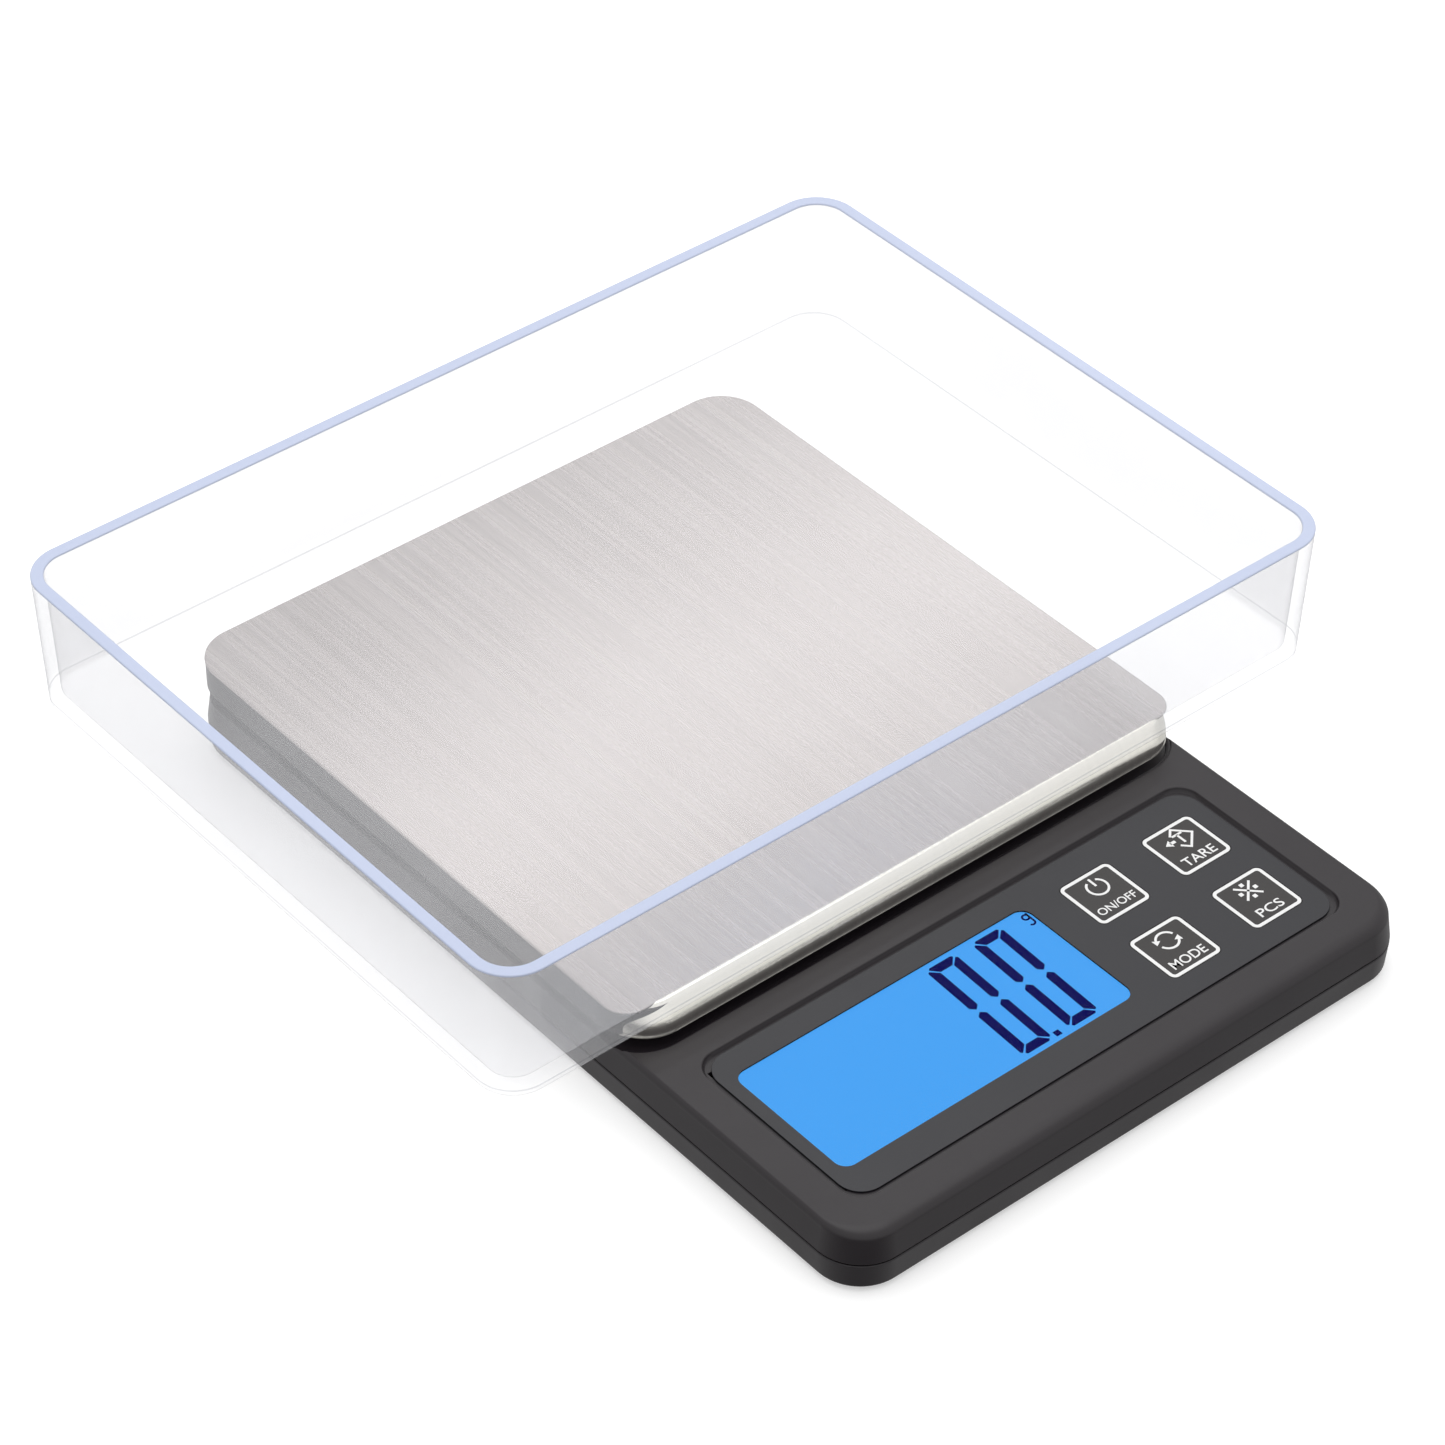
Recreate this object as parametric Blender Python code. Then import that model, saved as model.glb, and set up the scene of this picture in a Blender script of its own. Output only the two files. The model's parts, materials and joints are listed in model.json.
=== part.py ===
"""A digital gram scale: a flat black housing with a display and four keys at the front, a square
steel platform behind them, and a clear tray on the platform.

The front of the housing is at -Y, the table is at z = 0, and the origin is under the middle of the
housing's width, less than a millimetre from the middle of the whole object. Sizes are in metres.
"""

import math

import bmesh
import bpy
from mathutils import Vector

MM = 0.001
GAP = 0.3 * MM  # between pieces that touch

# ---------------------------------------------------------------- driving dimensions
OBJECT_DEPTH = 180.6 * MM
FRONT = -OBJECT_DEPTH / 2  # the lower front edge of the housing

BODY_WIDTH = 120.2 * MM  # at the parting line, where the housing is widest
BODY_DEPTH = 173.1 * MM
BODY_CORNER = 8.6 * MM
BODY_BOTTOM = 0.9 * MM
PARTING = 5.8 * MM
PARTING_GAP = 0.3 * MM
PANEL_TOP = 12.1 * MM
DECK_TOP = 10.9 * MM
WALL = 1.9 * MM
FLOOR = 1.8 * MM
FLOOR_TOP = BODY_BOTTOM + FLOOR
PANEL_CEILING = 9.7 * MM
DECK_CEILING = 9.4 * MM
FRONT_FILLET = 2.6 * MM
SIDE_FILLET = 1.0 * MM
FILLET_HEIGHT = 1.6 * MM

PLATFORM_SIZE = 119.6 * MM
PLATFORM_FRONT = FRONT + 53.2 * MM
PLATFORM_Y = PLATFORM_FRONT + PLATFORM_SIZE / 2
PLATFORM_TOP = 19.1 * MM
PLATFORM_CORNER = 8.0 * MM
PLATFORM_EDGE = 1.6 * MM
SKIRT_BOTTOM = 13.3 * MM
SHEET = 0.8 * MM

WELL_MARGIN = 1.4 * MM  # from the platform to the edge of its well

LABEL_WIDTH = 104.0 * MM
LABEL_DEPTH = 37.4 * MM
LABEL_FRONT = FRONT + 8.7 * MM
LABEL_CORNER = 4.5 * MM
LABEL_MARGIN = 1.2 * MM  # floor of the recess left bare around the overlay
RECESS_CORNER = 2.6 * MM
RECESS_FLOOR = 11.0 * MM
OVERLAY_BOTTOM = 11.3 * MM
OVERLAY_TOP = 11.6 * MM
LABEL_Y = LABEL_FRONT + LABEL_DEPTH / 2

LCD_X = -18.8 * MM
LCD_Y = FRONT + 27.95 * MM
LCD_WIDTH = 65.4 * MM
LCD_DEPTH = 32.0 * MM
LCD_BOTTOM = 8.8 * MM
LCD_TOP = 11.0 * MM

KEY_SIZE = 10.8 * MM
KEY_CORNER = 1.6 * MM
KEY_COLUMNS = (24.3 * MM, 42.7 * MM)
KEY_ROWS = (FRONT + 18.7 * MM, FRONT + 35.1 * MM)
KEY_TRAVEL = 0.25 * MM
KEYS = {  # name: (column, row)
    "power": (0, 1),
    "tare": (1, 1),
    "mode": (0, 0),
    "count": (1, 0),
}

BOARD_BOTTOM = 4.4 * MM
BOARD_THICKNESS = 1.2 * MM
BOARD_TOP = BOARD_BOTTOM + BOARD_THICKNESS
BOARD_WIDTH = 104.0 * MM
BOARD_DEPTH = 42.5 * MM
BOARD_Y = FRONT + 30.25 * MM
BOARD_SCREWS = (
    (-46.0 * MM, FRONT + 48.7 * MM),
    (46.0 * MM, FRONT + 48.7 * MM),
    (33.5 * MM, FRONT + 11.5 * MM),
)

BEAM_LENGTH = 47.0 * MM
BEAM_WIDTH = 12.0 * MM
BEAM_HEIGHT = 6.0 * MM
BEAM_BOTTOM = 4.5 * MM
BEAM_SCREWS = (13.5 * MM, 20.0 * MM)  # distances from the middle of the beam
M3_CLEARANCE = 3.5 * MM
M3_SHANK = 2.8 * MM
M3_HEAD = 5.4 * MM

CARRIER_SIZE = 112.0 * MM
CARRIER_BOTTOM = 16.6 * MM
CARRIER_TOP = 18.0 * MM

CELL_DIAMETER = 10.5 * MM
CELL_LENGTH = 44.5 * MM
CELL_Z = 3.1 * MM + CELL_DIAMETER / 2
CELL_ROWS = (FRONT + 151.1 * MM, FRONT + 162.4 * MM)
BAY_HALF_LENGTH = 27.2 * MM
BAY_FRONT = FRONT + 145.1 * MM
BAY_BACK = FRONT + 168.4 * MM
BAY_WALL = 1.2 * MM
BAY_CEILING = 13.9 * MM
BAY_TOP = 14.9 * MM
DOOR_HALF_WIDTH = 29.5 * MM
DOOR_LIP = 1.6 * MM
DOOR_FRONT = FRONT + 141.5 * MM

TRAY_Z = PLATFORM_TOP + GAP
TRAY_TOP = 45.9 * MM
TRAY_WIDTH = 175.6 * MM
TRAY_DEPTH = 130.5 * MM
TRAY_X = 0.7 * MM
TRAY_Y = OBJECT_DEPTH / 2 - TRAY_DEPTH / 2
TRAY_DRAFT = 1.1 * MM  # each wall leans out by this much from the floor to the rim
TRAY_CORNER = 8.0 * MM
TRAY_WALL = 2.2 * MM
TRAY_FLOOR = 2.0 * MM
TRAY_EDGE = 2.2 * MM

FOOT_DIAMETER = 10.0 * MM
FOOT_HEIGHT = 1.8 * MM
FOOT_X = 51.0 * MM
FOOT_ROWS = (FRONT + 11.0 * MM, FRONT + 162.5 * MM)

HOUSING_SCREW_X = 54.3 * MM
HOUSING_SCREW_ROWS = (FRONT + 55.5 * MM, FRONT + 150.5 * MM)

CORNER_SEGMENTS = 6
ROUND_SIDES = 20
POST_SIDES = 16
BORE_SIDES = 12


# ---------------------------------------------------------------- scene and materials
def clear_scene():
    for obj in list(bpy.data.objects):
        bpy.data.objects.remove(obj, do_unlink=True)


def make_collection(name):
    collection = bpy.data.collections.new(name)
    bpy.context.scene.collection.children.link(collection)
    return collection


def make_material(name, colour, roughness, metallic=0.0, transmission=0.0):
    material = bpy.data.materials.new(name)
    material.use_nodes = True
    shader = material.node_tree.nodes["Principled BSDF"]
    shader.inputs["Base Color"].default_value = (*colour, 1.0)
    shader.inputs["Roughness"].default_value = roughness
    shader.inputs["Metallic"].default_value = metallic
    shader.inputs["Transmission Weight"].default_value = transmission
    return material


clear_scene()
PARTS = make_collection("gram_scale")
CUTTERS = make_collection("gram_scale_cutters")

BLACK_ABS = make_material("black_abs", (0.018, 0.018, 0.019), 0.42)
OVERLAY_FILM = make_material("overlay_film", (0.020, 0.020, 0.021), 0.30)
KEY_FILM = make_material("key_film", (0.026, 0.025, 0.025), 0.34)
STEEL = make_material("brushed_stainless", (0.62, 0.60, 0.59), 0.32, metallic=1.0)
CLEAR = make_material("clear_polystyrene", (0.93, 0.94, 0.98), 0.04, transmission=1.0)
GREY_PLASTIC = make_material("grey_plastic", (0.10, 0.10, 0.105), 0.5)
ALUMINIUM = make_material("aluminium", (0.70, 0.71, 0.72), 0.35, metallic=1.0)
ZINC = make_material("zinc_plated_steel", (0.60, 0.60, 0.58), 0.35, metallic=1.0)
BOARD_GREEN = make_material("circuit_board", (0.02, 0.16, 0.07), 0.45)
EPOXY = make_material("black_epoxy", (0.01, 0.01, 0.01), 0.25)
LCD_GLASS = make_material("lcd_glass", (0.08, 0.38, 0.90), 0.10)
LIGHT_GUIDE = make_material("light_guide", (0.80, 0.86, 0.95), 0.35)
SILICONE = make_material("silicone", (0.75, 0.75, 0.73), 0.6)
RUBBER = make_material("black_rubber", (0.015, 0.015, 0.015), 0.8)
NICKEL = make_material("nickel_plated_steel", (0.72, 0.69, 0.62), 0.28, metallic=1.0)
CELL_SLEEVE = make_material("cell_sleeve", (0.12, 0.13, 0.14), 0.3)
RED_WIRE = make_material("red_wire", (0.55, 0.03, 0.02), 0.45)
BLACK_WIRE = make_material("black_wire", (0.02, 0.02, 0.02), 0.45)
GREY_WIRE = make_material("grey_wire", (0.45, 0.45, 0.46), 0.5)


# ---------------------------------------------------------------- shapes
def mesh_object(name, bm, material=None):
    """Puts a bmesh in a new object. Without a material it is a cutter."""
    bmesh.ops.recalc_face_normals(bm, faces=bm.faces)
    mesh = bpy.data.meshes.new(name)
    bm.to_mesh(mesh)
    bm.free()
    obj = bpy.data.objects.new(name, mesh)
    if material is None:
        obj.hide_render = True
        obj.display_type = "WIRE"
        CUTTERS.objects.link(obj)
    else:
        mesh.materials.append(material)
        PARTS.objects.link(obj)
    return obj


def smooth(obj, angle=35):
    obj.data.shade_smooth()
    obj.data.set_sharp_from_angle(angle=math.radians(angle))
    return obj


def box(name, low, high, material=None, corner=0.0, edge=0.0, segments=3):
    """A box from its low to its high corner. corner rounds its upright edges, edge its top ones."""
    low, high = Vector(low), Vector(high)
    bm = bmesh.new()
    bmesh.ops.create_cube(bm, size=1.0)
    for vertex in bm.verts:
        vertex.co = [a + (b - a) * (c + 0.5) for a, b, c in zip(low, high, vertex.co)]
    if corner:
        upright = [e for e in bm.edges if abs(e.verts[0].co.z - e.verts[1].co.z) > 0.5 * (high.z - low.z)]
        bmesh.ops.bevel(bm, geom=upright, offset=corner, segments=segments + 1, profile=0.5, affect="EDGES")
    if edge:
        rim = [e for e in bm.edges if all(v.co.z > high.z - 1e-7 for v in e.verts)]
        bmesh.ops.bevel(bm, geom=rim, offset=edge, segments=segments, profile=0.5, affect="EDGES")
    return mesh_object(name, bm, material)


def cylinder(name, centre, z_low, z_high, diameter, sides=ROUND_SIDES):
    """An upright cylinder, to cut with or to join on."""
    bm = bmesh.new()
    bmesh.ops.create_cone(
        bm,
        cap_ends=True,
        segments=sides,
        radius1=diameter / 2,
        radius2=diameter / 2,
        depth=z_high - z_low,
    )
    for vertex in bm.verts:
        vertex.co += Vector((centre[0], centre[1], (z_low + z_high) / 2))
    return mesh_object(name, bm)


def turned(name, profile, centre, material, sides=ROUND_SIDES):
    """A solid of revolution. profile runs from the top of the axis down, as (radius, height) pairs."""
    bm = bmesh.new()
    points = [bm.verts.new((radius, 0.0, height)) for radius, height in profile]
    for first, second in zip(points, points[1:]):
        bm.edges.new((first, second))
    bmesh.ops.spin(
        bm,
        geom=list(bm.verts) + list(bm.edges),
        axis=(0, 0, 1),
        cent=(0, 0, 0),
        steps=sides,
        angle=2 * math.pi,
    )
    bmesh.ops.remove_doubles(bm, verts=bm.verts, dist=1e-6)
    for vertex in bm.verts:
        vertex.co += Vector(centre)
    return smooth(mesh_object(name, bm, material))


def rounded_outline(x_low, x_high, y_low, y_high, radius):
    """The points of a rectangle with round corners, anticlockwise seen from above."""
    corners = (
        (x_high - radius, y_low + radius, -90),
        (x_high - radius, y_high - radius, 0),
        (x_low + radius, y_high - radius, 90),
        (x_low + radius, y_low + radius, 180),
    )
    points = []
    for x, y, start in corners:
        for step in range(CORNER_SEGMENTS + 1):
            angle = math.radians(start + 90 * step / CORNER_SEGMENTS)
            points.append((x + radius * math.cos(angle), y + radius * math.sin(angle)))
    return points


def loft(name, levels, material=None):
    """A closed solid through a stack of round-cornered rectangles.

    Each level is (z, x_low, x_high, y_low, y_high, corner radius), from the bottom up.
    """
    bm = bmesh.new()
    rings = []
    for z, *rectangle in levels:
        rings.append([bm.verts.new((x, y, z)) for x, y in rounded_outline(*rectangle)])
    for lower, upper in zip(rings, rings[1:]):
        for i in range(len(lower)):
            j = (i + 1) % len(lower)
            bm.faces.new((lower[i], lower[j], upper[j], upper[i]))
    bm.faces.new(list(reversed(rings[0])))
    bm.faces.new(rings[-1])
    return mesh_object(name, bm, material)


def level(z, rectangle, inset=0.0, front_inset=None):
    """One level of a loft: rectangle is (x_low, x_high, y_low, y_high, radius), drawn in by inset."""
    x_low, x_high, y_low, y_high, radius = rectangle
    front = inset if front_inset is None else front_inset
    return (z, x_low + inset, x_high - inset, y_low + front, y_high - inset, max(radius - inset, 0.4 * MM))


def boolean(obj, other, operation):
    modifier = obj.modifiers.new(operation.lower() + "_" + other.name, "BOOLEAN")
    modifier.operation = operation
    modifier.solver = "EXACT"
    modifier.object = other
    return obj


def cut(obj, *cutters):
    for cutter in cutters:
        boolean(obj, cutter, "DIFFERENCE")
    return obj


def join(obj, *others):
    for other in others:
        boolean(obj, other, "UNION")
    return obj


def tube(name, points, diameter, material, resolution=2):
    """A round wire along points."""
    curve = bpy.data.curves.new(name, "CURVE")
    curve.dimensions = "3D"
    curve.bevel_depth = diameter / 2
    curve.bevel_resolution = resolution
    curve.use_fill_caps = True
    spline = curve.splines.new("POLY")
    spline.points.add(len(points) - 1)
    for point, place in zip(spline.points, points):
        point.co = (*place, 1.0)
    curve.materials.append(material)
    obj = bpy.data.objects.new(name, curve)
    PARTS.objects.link(obj)
    return obj


def smooth_route(points, spacing):
    """Points about spacing apart along a smooth curve through the given ones."""
    points = [Vector(p) for p in points]
    padded = [2 * points[0] - points[1], *points, 2 * points[-1] - points[-2]]
    route = []
    for a, b, c, d in zip(padded, padded[1:], padded[2:], padded[3:]):
        steps = max(2, round((c - b).length / spacing))
        for step in range(steps):
            t = step / steps
            square = (2 * a - 5 * b + 4 * c - d) * t**2
            cube = (3 * b - a - 3 * c + d) * t**3
            route.append(0.5 * (2 * b + (c - a) * t + square + cube))
    route.append(points[-1])
    return route


def screw(name, x, y, head_low, head_high, tip, head_diameter, shank_diameter):
    """A pan-head screw. Its tip is above the head when it is driven from below."""
    upward = tip > head_high
    seat = head_high if upward else head_low
    crown = head_low if upward else head_high
    rim = 0.25 * abs(head_high - head_low)
    side = -1 if upward else 1
    profile = [
        (0.0, crown),
        (0.40 * head_diameter, crown),
        (0.50 * head_diameter, crown - side * rim),
        (0.50 * head_diameter, seat),
        (0.50 * shank_diameter, seat),
        (0.50 * shank_diameter, tip + side * 0.3 * shank_diameter),
        (0.0, tip),
    ]
    if upward:
        profile.reverse()
    obj = turned(name, profile, (x, y, 0.0), ZINC, sides=BORE_SIDES)
    slot_depth = 0.45 * abs(head_high - head_low)
    slot_low, slot_high = sorted((crown + side * MM, crown - side * slot_depth))
    arm, blade = 0.33 * head_diameter, 0.085 * head_diameter
    for label, (dx, dy) in {"a": (arm, blade), "b": (blade, arm)}.items():
        cut(obj, box(f"{name}_slot_{label}", (x - dx, y - dy, slot_low), (x + dx, y + dy, slot_high)))
    return obj


# ---------------------------------------------------------------- housing
BODY = (-BODY_WIDTH / 2, BODY_WIDTH / 2, FRONT, FRONT + BODY_DEPTH, BODY_CORNER)
WELL = (
    -PLATFORM_SIZE / 2 - WELL_MARGIN,
    PLATFORM_SIZE / 2 + WELL_MARGIN,
    PLATFORM_FRONT - WELL_MARGIN,
    FRONT + BODY_DEPTH + 10 * MM,
    PLATFORM_CORNER + WELL_MARGIN,
)


def fillet_levels(rectangle, z_top, height, side, front, draft, steps=5):
    """The top levels of a shell whose front edge is rounder than its sides."""
    levels = []
    for step in range(steps + 1):
        angle = math.radians(90 * step / steps)
        rise, inset = math.sin(angle), 1 - math.cos(angle)
        z = z_top - height + height * rise
        levels.append(level(z, rectangle, draft + side * inset, draft + front * inset))
    return levels


def make_upper_housing():
    draft = 0.4 * MM
    levels = [level(PARTING + PARTING_GAP, BODY)]
    levels += fillet_levels(BODY, PANEL_TOP, FILLET_HEIGHT, SIDE_FILLET, FRONT_FILLET, draft)
    shell = loft("upper_housing", levels, BLACK_ABS)

    cavity_low = PARTING - 2 * MM
    divide = PLATFORM_FRONT + 1.5 * MM
    inner = (BODY[0] + WALL, BODY[1] - WALL, BODY[2] + WALL, divide, 3 * MM)
    behind = (BODY[0] + WALL, BODY[1] - WALL, divide - 8 * MM, BODY[3] - WALL, 5 * MM)
    cut(
        shell,
        loft("panel_cavity", [level(cavity_low, inner), level(PANEL_CEILING, inner, 0.3 * MM)]),
        loft("deck_cavity", [level(cavity_low, behind), level(DECK_CEILING, behind, 0.3 * MM)]),
    )

    well_levels = []
    depth = PANEL_TOP - DECK_TOP
    for step in range(5):
        angle = math.radians(90 * step / 4)
        well_levels.append(level(DECK_TOP + depth * math.sin(angle), WELL, depth * math.cos(angle)))
    well_levels.append(level(PANEL_TOP + 5 * MM, WELL))
    cut(shell, loft("platform_well", well_levels))

    recess = (
        -LABEL_WIDTH / 2 - LABEL_MARGIN,
        LABEL_WIDTH / 2 + LABEL_MARGIN,
        LABEL_FRONT - LABEL_MARGIN,
        LABEL_FRONT + LABEL_DEPTH + LABEL_MARGIN,
        RECESS_CORNER,
    )
    recess_levels = [level(RECESS_FLOOR, recess, 0.25 * MM), level(PANEL_TOP + 2 * MM, recess)]
    cut(shell, loft("label_recess", recess_levels))

    clearance = 0.4 * MM
    cut(
        shell,
        box(
            "display_opening",
            (LCD_X - LCD_WIDTH / 2 - clearance, LCD_Y - LCD_DEPTH / 2 - clearance, PARTING),
            (LCD_X + LCD_WIDTH / 2 + clearance, LCD_Y + LCD_DEPTH / 2 + clearance, PANEL_TOP + MM),
        ),
    )
    for name, (column, row) in KEYS.items():
        x, y = KEY_COLUMNS[column], KEY_ROWS[row]
        half = KEY_SIZE / 2 + GAP
        low, high = (x - half, y - half, PARTING), (x + half, y + half, PANEL_TOP + MM)
        cut(shell, box(f"{name}_opening", low, high))

    beam_half = BEAM_LENGTH / 2 + 2.5 * MM
    cut(
        shell,
        box(
            "beam_opening",
            (-beam_half, PLATFORM_Y - BEAM_WIDTH / 2 - 2.5 * MM, PARTING),
            (beam_half, PLATFORM_Y + BEAM_WIDTH / 2 + 2.5 * MM, PANEL_TOP + MM),
        ),
        box(
            "bay_opening",
            (-BAY_HALF_LENGTH - BAY_WALL - clearance, BAY_FRONT - BAY_WALL - clearance, PARTING),
            (BAY_HALF_LENGTH + BAY_WALL + clearance, BAY_BACK + BAY_WALL + clearance, PANEL_TOP + MM),
        ),
    )

    places = housing_screw_places()
    posts = [(place, FLOOR_TOP + 0.9 * MM, DECK_CEILING, 5.6 * MM, 2.8 * MM) for place in places]
    posts += [(place, BOARD_TOP + GAP, PANEL_CEILING, 5.0 * MM, 2.6 * MM) for place in BOARD_SCREWS]
    into_roof = 0.6 * MM
    for i, (place, low, ceiling, diameter, bore) in enumerate(posts):
        join(shell, cylinder(f"post_{i}", place, low, ceiling + into_roof, diameter, sides=POST_SIDES))
        cut(shell, cylinder(f"post_bore_{i}", place, low - MM, ceiling - into_roof, bore, sides=BORE_SIDES))
    return smooth(shell)


def housing_screw_places():
    return [(side * HOUSING_SCREW_X, y) for y in HOUSING_SCREW_ROWS for side in (-1, 1)]


def foot_places():
    return [(side * FOOT_X, y) for y in FOOT_ROWS for side in (-1, 1)]


def lower_levels(inset=0.0):
    """The outside of the lower housing, from its rounded lower edge up to the parting line."""
    return [
        level(BODY_BOTTOM + inset, BODY, inset + 0.80 * MM),
        level(BODY_BOTTOM + 0.15 * MM, BODY, inset + 0.45 * MM),
        level(BODY_BOTTOM + 0.50 * MM, BODY, inset + 0.30 * MM),
        level(PARTING, BODY, inset),
    ]


def make_lower_housing():
    shell = loft("lower_housing", lower_levels(), BLACK_ABS)
    cavity = [level(FLOOR_TOP, BODY, WALL + 0.6 * MM), level(PARTING + MM, BODY, WALL)]
    cut(shell, loft("lower_cavity", cavity))

    bay_low = (-BAY_HALF_LENGTH - BAY_WALL, BAY_FRONT - BAY_WALL)
    bay_high = (BAY_HALF_LENGTH + BAY_WALL, BAY_BACK + BAY_WALL)
    hollow_low, hollow_high = (-BAY_HALF_LENGTH, BAY_FRONT, 0.0), (BAY_HALF_LENGTH, BAY_BACK, BAY_CEILING)
    join(shell, box("bay_box", (*bay_low, FLOOR_TOP - 0.5 * MM), (*bay_high, BAY_TOP)))
    cut(shell, box("bay_hollow", hollow_low, hollow_high))

    back = FRONT + BODY_DEPTH + 5 * MM
    side = DOOR_HALF_WIDTH + GAP
    cut(
        shell,
        box("door_slot", (-side, DOOR_FRONT - GAP, 0.0), (side, back, FLOOR_TOP + 0.25 * MM)),
        box(
            "door_lip_slot",
            (-side - DOOR_LIP, DOOR_FRONT - GAP, BODY_BOTTOM + 0.6 * MM),
            (side + DOOR_LIP, back, FLOOR_TOP + 0.25 * MM),
        ),
    )
    rail_back = FRONT + BODY_DEPTH - MM
    outer = side + DOOR_LIP + 1.4 * MM
    for name, sign in (("left", -1), ("right", 1)):
        for piece, inner, low, high in (
            ("rail", BAY_HALF_LENGTH + 0.5 * MM, FLOOR_TOP + 0.25 * MM, FLOOR_TOP + 1.2 * MM),
            ("rail_web", side + DOOR_LIP, FLOOR_TOP - 0.4 * MM, FLOOR_TOP + 0.6 * MM),
        ):
            x_low, x_high = sorted((sign * inner, sign * outer))
            join(shell, box(f"{piece}_{name}", (x_low, DOOR_FRONT - MM, low), (x_high, rail_back, high)))

    beam_pad = (-BEAM_LENGTH / 2 - MM, -9.0 * MM)
    join(
        shell,
        box(
            "beam_pad",
            (beam_pad[0], PLATFORM_Y - BEAM_WIDTH / 2 - MM, FLOOR_TOP - 0.5 * MM),
            (beam_pad[1], PLATFORM_Y + BEAM_WIDTH / 2 + MM, BEAM_BOTTOM - GAP),
        ),
        box(
            "overload_stop",
            (11.0 * MM, PLATFORM_Y - 4 * MM, FLOOR_TOP - 0.5 * MM),
            (22.0 * MM, PLATFORM_Y + 4 * MM, BEAM_BOTTOM - 0.8 * MM),
        ),
    )
    for i, x in enumerate(BEAM_SCREWS):
        cut(
            shell,
            cylinder(f"fixed_bore_{i}", (-x, PLATFORM_Y), 0.0, BEAM_BOTTOM, M3_CLEARANCE, sides=BORE_SIDES),
            cylinder(f"fixed_counterbore_{i}", (-x, PLATFORM_Y), 0.0, 2.8 * MM, 6.0 * MM, sides=POST_SIDES),
        )
    seat_low = FLOOR_TOP - 0.5 * MM
    for i, place in enumerate(housing_screw_places()):
        seat = cylinder(f"seat_{i}", place, seat_low, FLOOR_TOP + 0.6 * MM, 6.6 * MM, sides=POST_SIDES)
        join(shell, seat)
        cut(
            shell,
            cylinder(f"clearance_{i}", place, 0.0, 4 * MM, 2.9 * MM, sides=BORE_SIDES),
            cylinder(f"counterbore_{i}", place, 0.0, 2.4 * MM, 5.2 * MM, sides=POST_SIDES),
        )
    for i, place in enumerate(foot_places()):
        join(shell, cylinder(f"foot_seat_{i}", place, seat_low, FLOOR_TOP + 0.5 * MM, 12.6 * MM))
        cut(shell, cylinder(f"foot_pocket_{i}", place, 0.0, FOOT_HEIGHT + GAP, FOOT_DIAMETER + 2 * GAP))
    return smooth(shell)


def make_battery_door():
    low, high = BODY_BOTTOM, FLOOR_TOP - 0.1 * MM
    back = FRONT + BODY_DEPTH + MM
    half, lip = DOOR_HALF_WIDTH, DOOR_HALF_WIDTH + DOOR_LIP
    door = box("battery_door", (-half, DOOR_FRONT, low - MM), (half, back, high), BLACK_ABS)
    join(door, box("door_lip", (-lip, DOOR_FRONT, low + 0.9 * MM), (lip, back, high)))
    boolean(door, loft("door_form", lower_levels(0.02 * MM)), "INTERSECT")
    for i in range(5):
        y = FRONT + BODY_DEPTH - 8 * MM - i * 2.2 * MM
        cut(door, box(f"door_grip_{i}", (-9 * MM, y, 0.0), (9 * MM, y + 1.1 * MM, low + 0.5 * MM)))
    return door


# ---------------------------------------------------------------- front panel
def make_panel_overlay():
    label = (-LABEL_WIDTH / 2, LABEL_WIDTH / 2, LABEL_FRONT, LABEL_FRONT + LABEL_DEPTH, LABEL_CORNER)
    overlay = loft("panel_overlay", [level(OVERLAY_BOTTOM, label), level(OVERLAY_TOP, label)], OVERLAY_FILM)
    for name, (column, row) in KEYS.items():
        x, y = KEY_COLUMNS[column], KEY_ROWS[row]
        hole = key_rectangle(x, y, KEY_SIZE / 2 + 0.2 * MM, KEY_CORNER + 0.2 * MM)
        hole_levels = [level(OVERLAY_BOTTOM - MM, hole), level(OVERLAY_TOP + MM, hole)]
        cut(overlay, loft(f"{name}_hole", hole_levels))
    return overlay


def key_rectangle(x, y, half, radius):
    return (x - half, x + half, y - half, y + half, radius)


def make_keys():
    """Each key is a pad of the overlay film over a tact switch on the board."""
    for name, (column, row) in KEYS.items():
        x, y = KEY_COLUMNS[column], KEY_ROWS[row]
        axis = bpy.data.objects.new(f"{name}_key_axis", None)
        axis.location = (x, y, OVERLAY_BOTTOM)
        PARTS.objects.link(axis)
        pad = key_rectangle(0.0, 0.0, KEY_SIZE / 2, KEY_CORNER)
        film = loft(f"{name}_key", [level(0.0, pad), level(OVERLAY_TOP - OVERLAY_BOTTOM, pad)], KEY_FILM)
        film.parent = axis

        body_low, body_high = BOARD_TOP + GAP, 9.3 * MM
        half = 3.0 * MM
        low, high = (x - half, y - half, body_low), (x + half, y + half, body_high)
        switch = box(f"{name}_switch", low, high, GREY_PLASTIC, edge=0.3 * MM)
        cut(switch, cylinder(f"{name}_switch_well", (x, y), 7.4 * MM, 12 * MM, 4.0 * MM))
        top, foot, radius = 10.95 * MM, 7.8 * MM, 1.7 * MM
        profile = [(0.0, top), (radius - GAP, top), (radius, top - GAP), (radius, foot), (0.0, foot)]
        stem = turned(f"{name}_plunger", profile, (0.0, 0.0, -OVERLAY_BOTTOM), RUBBER, sides=BORE_SIDES)
        stem.parent = axis


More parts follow.
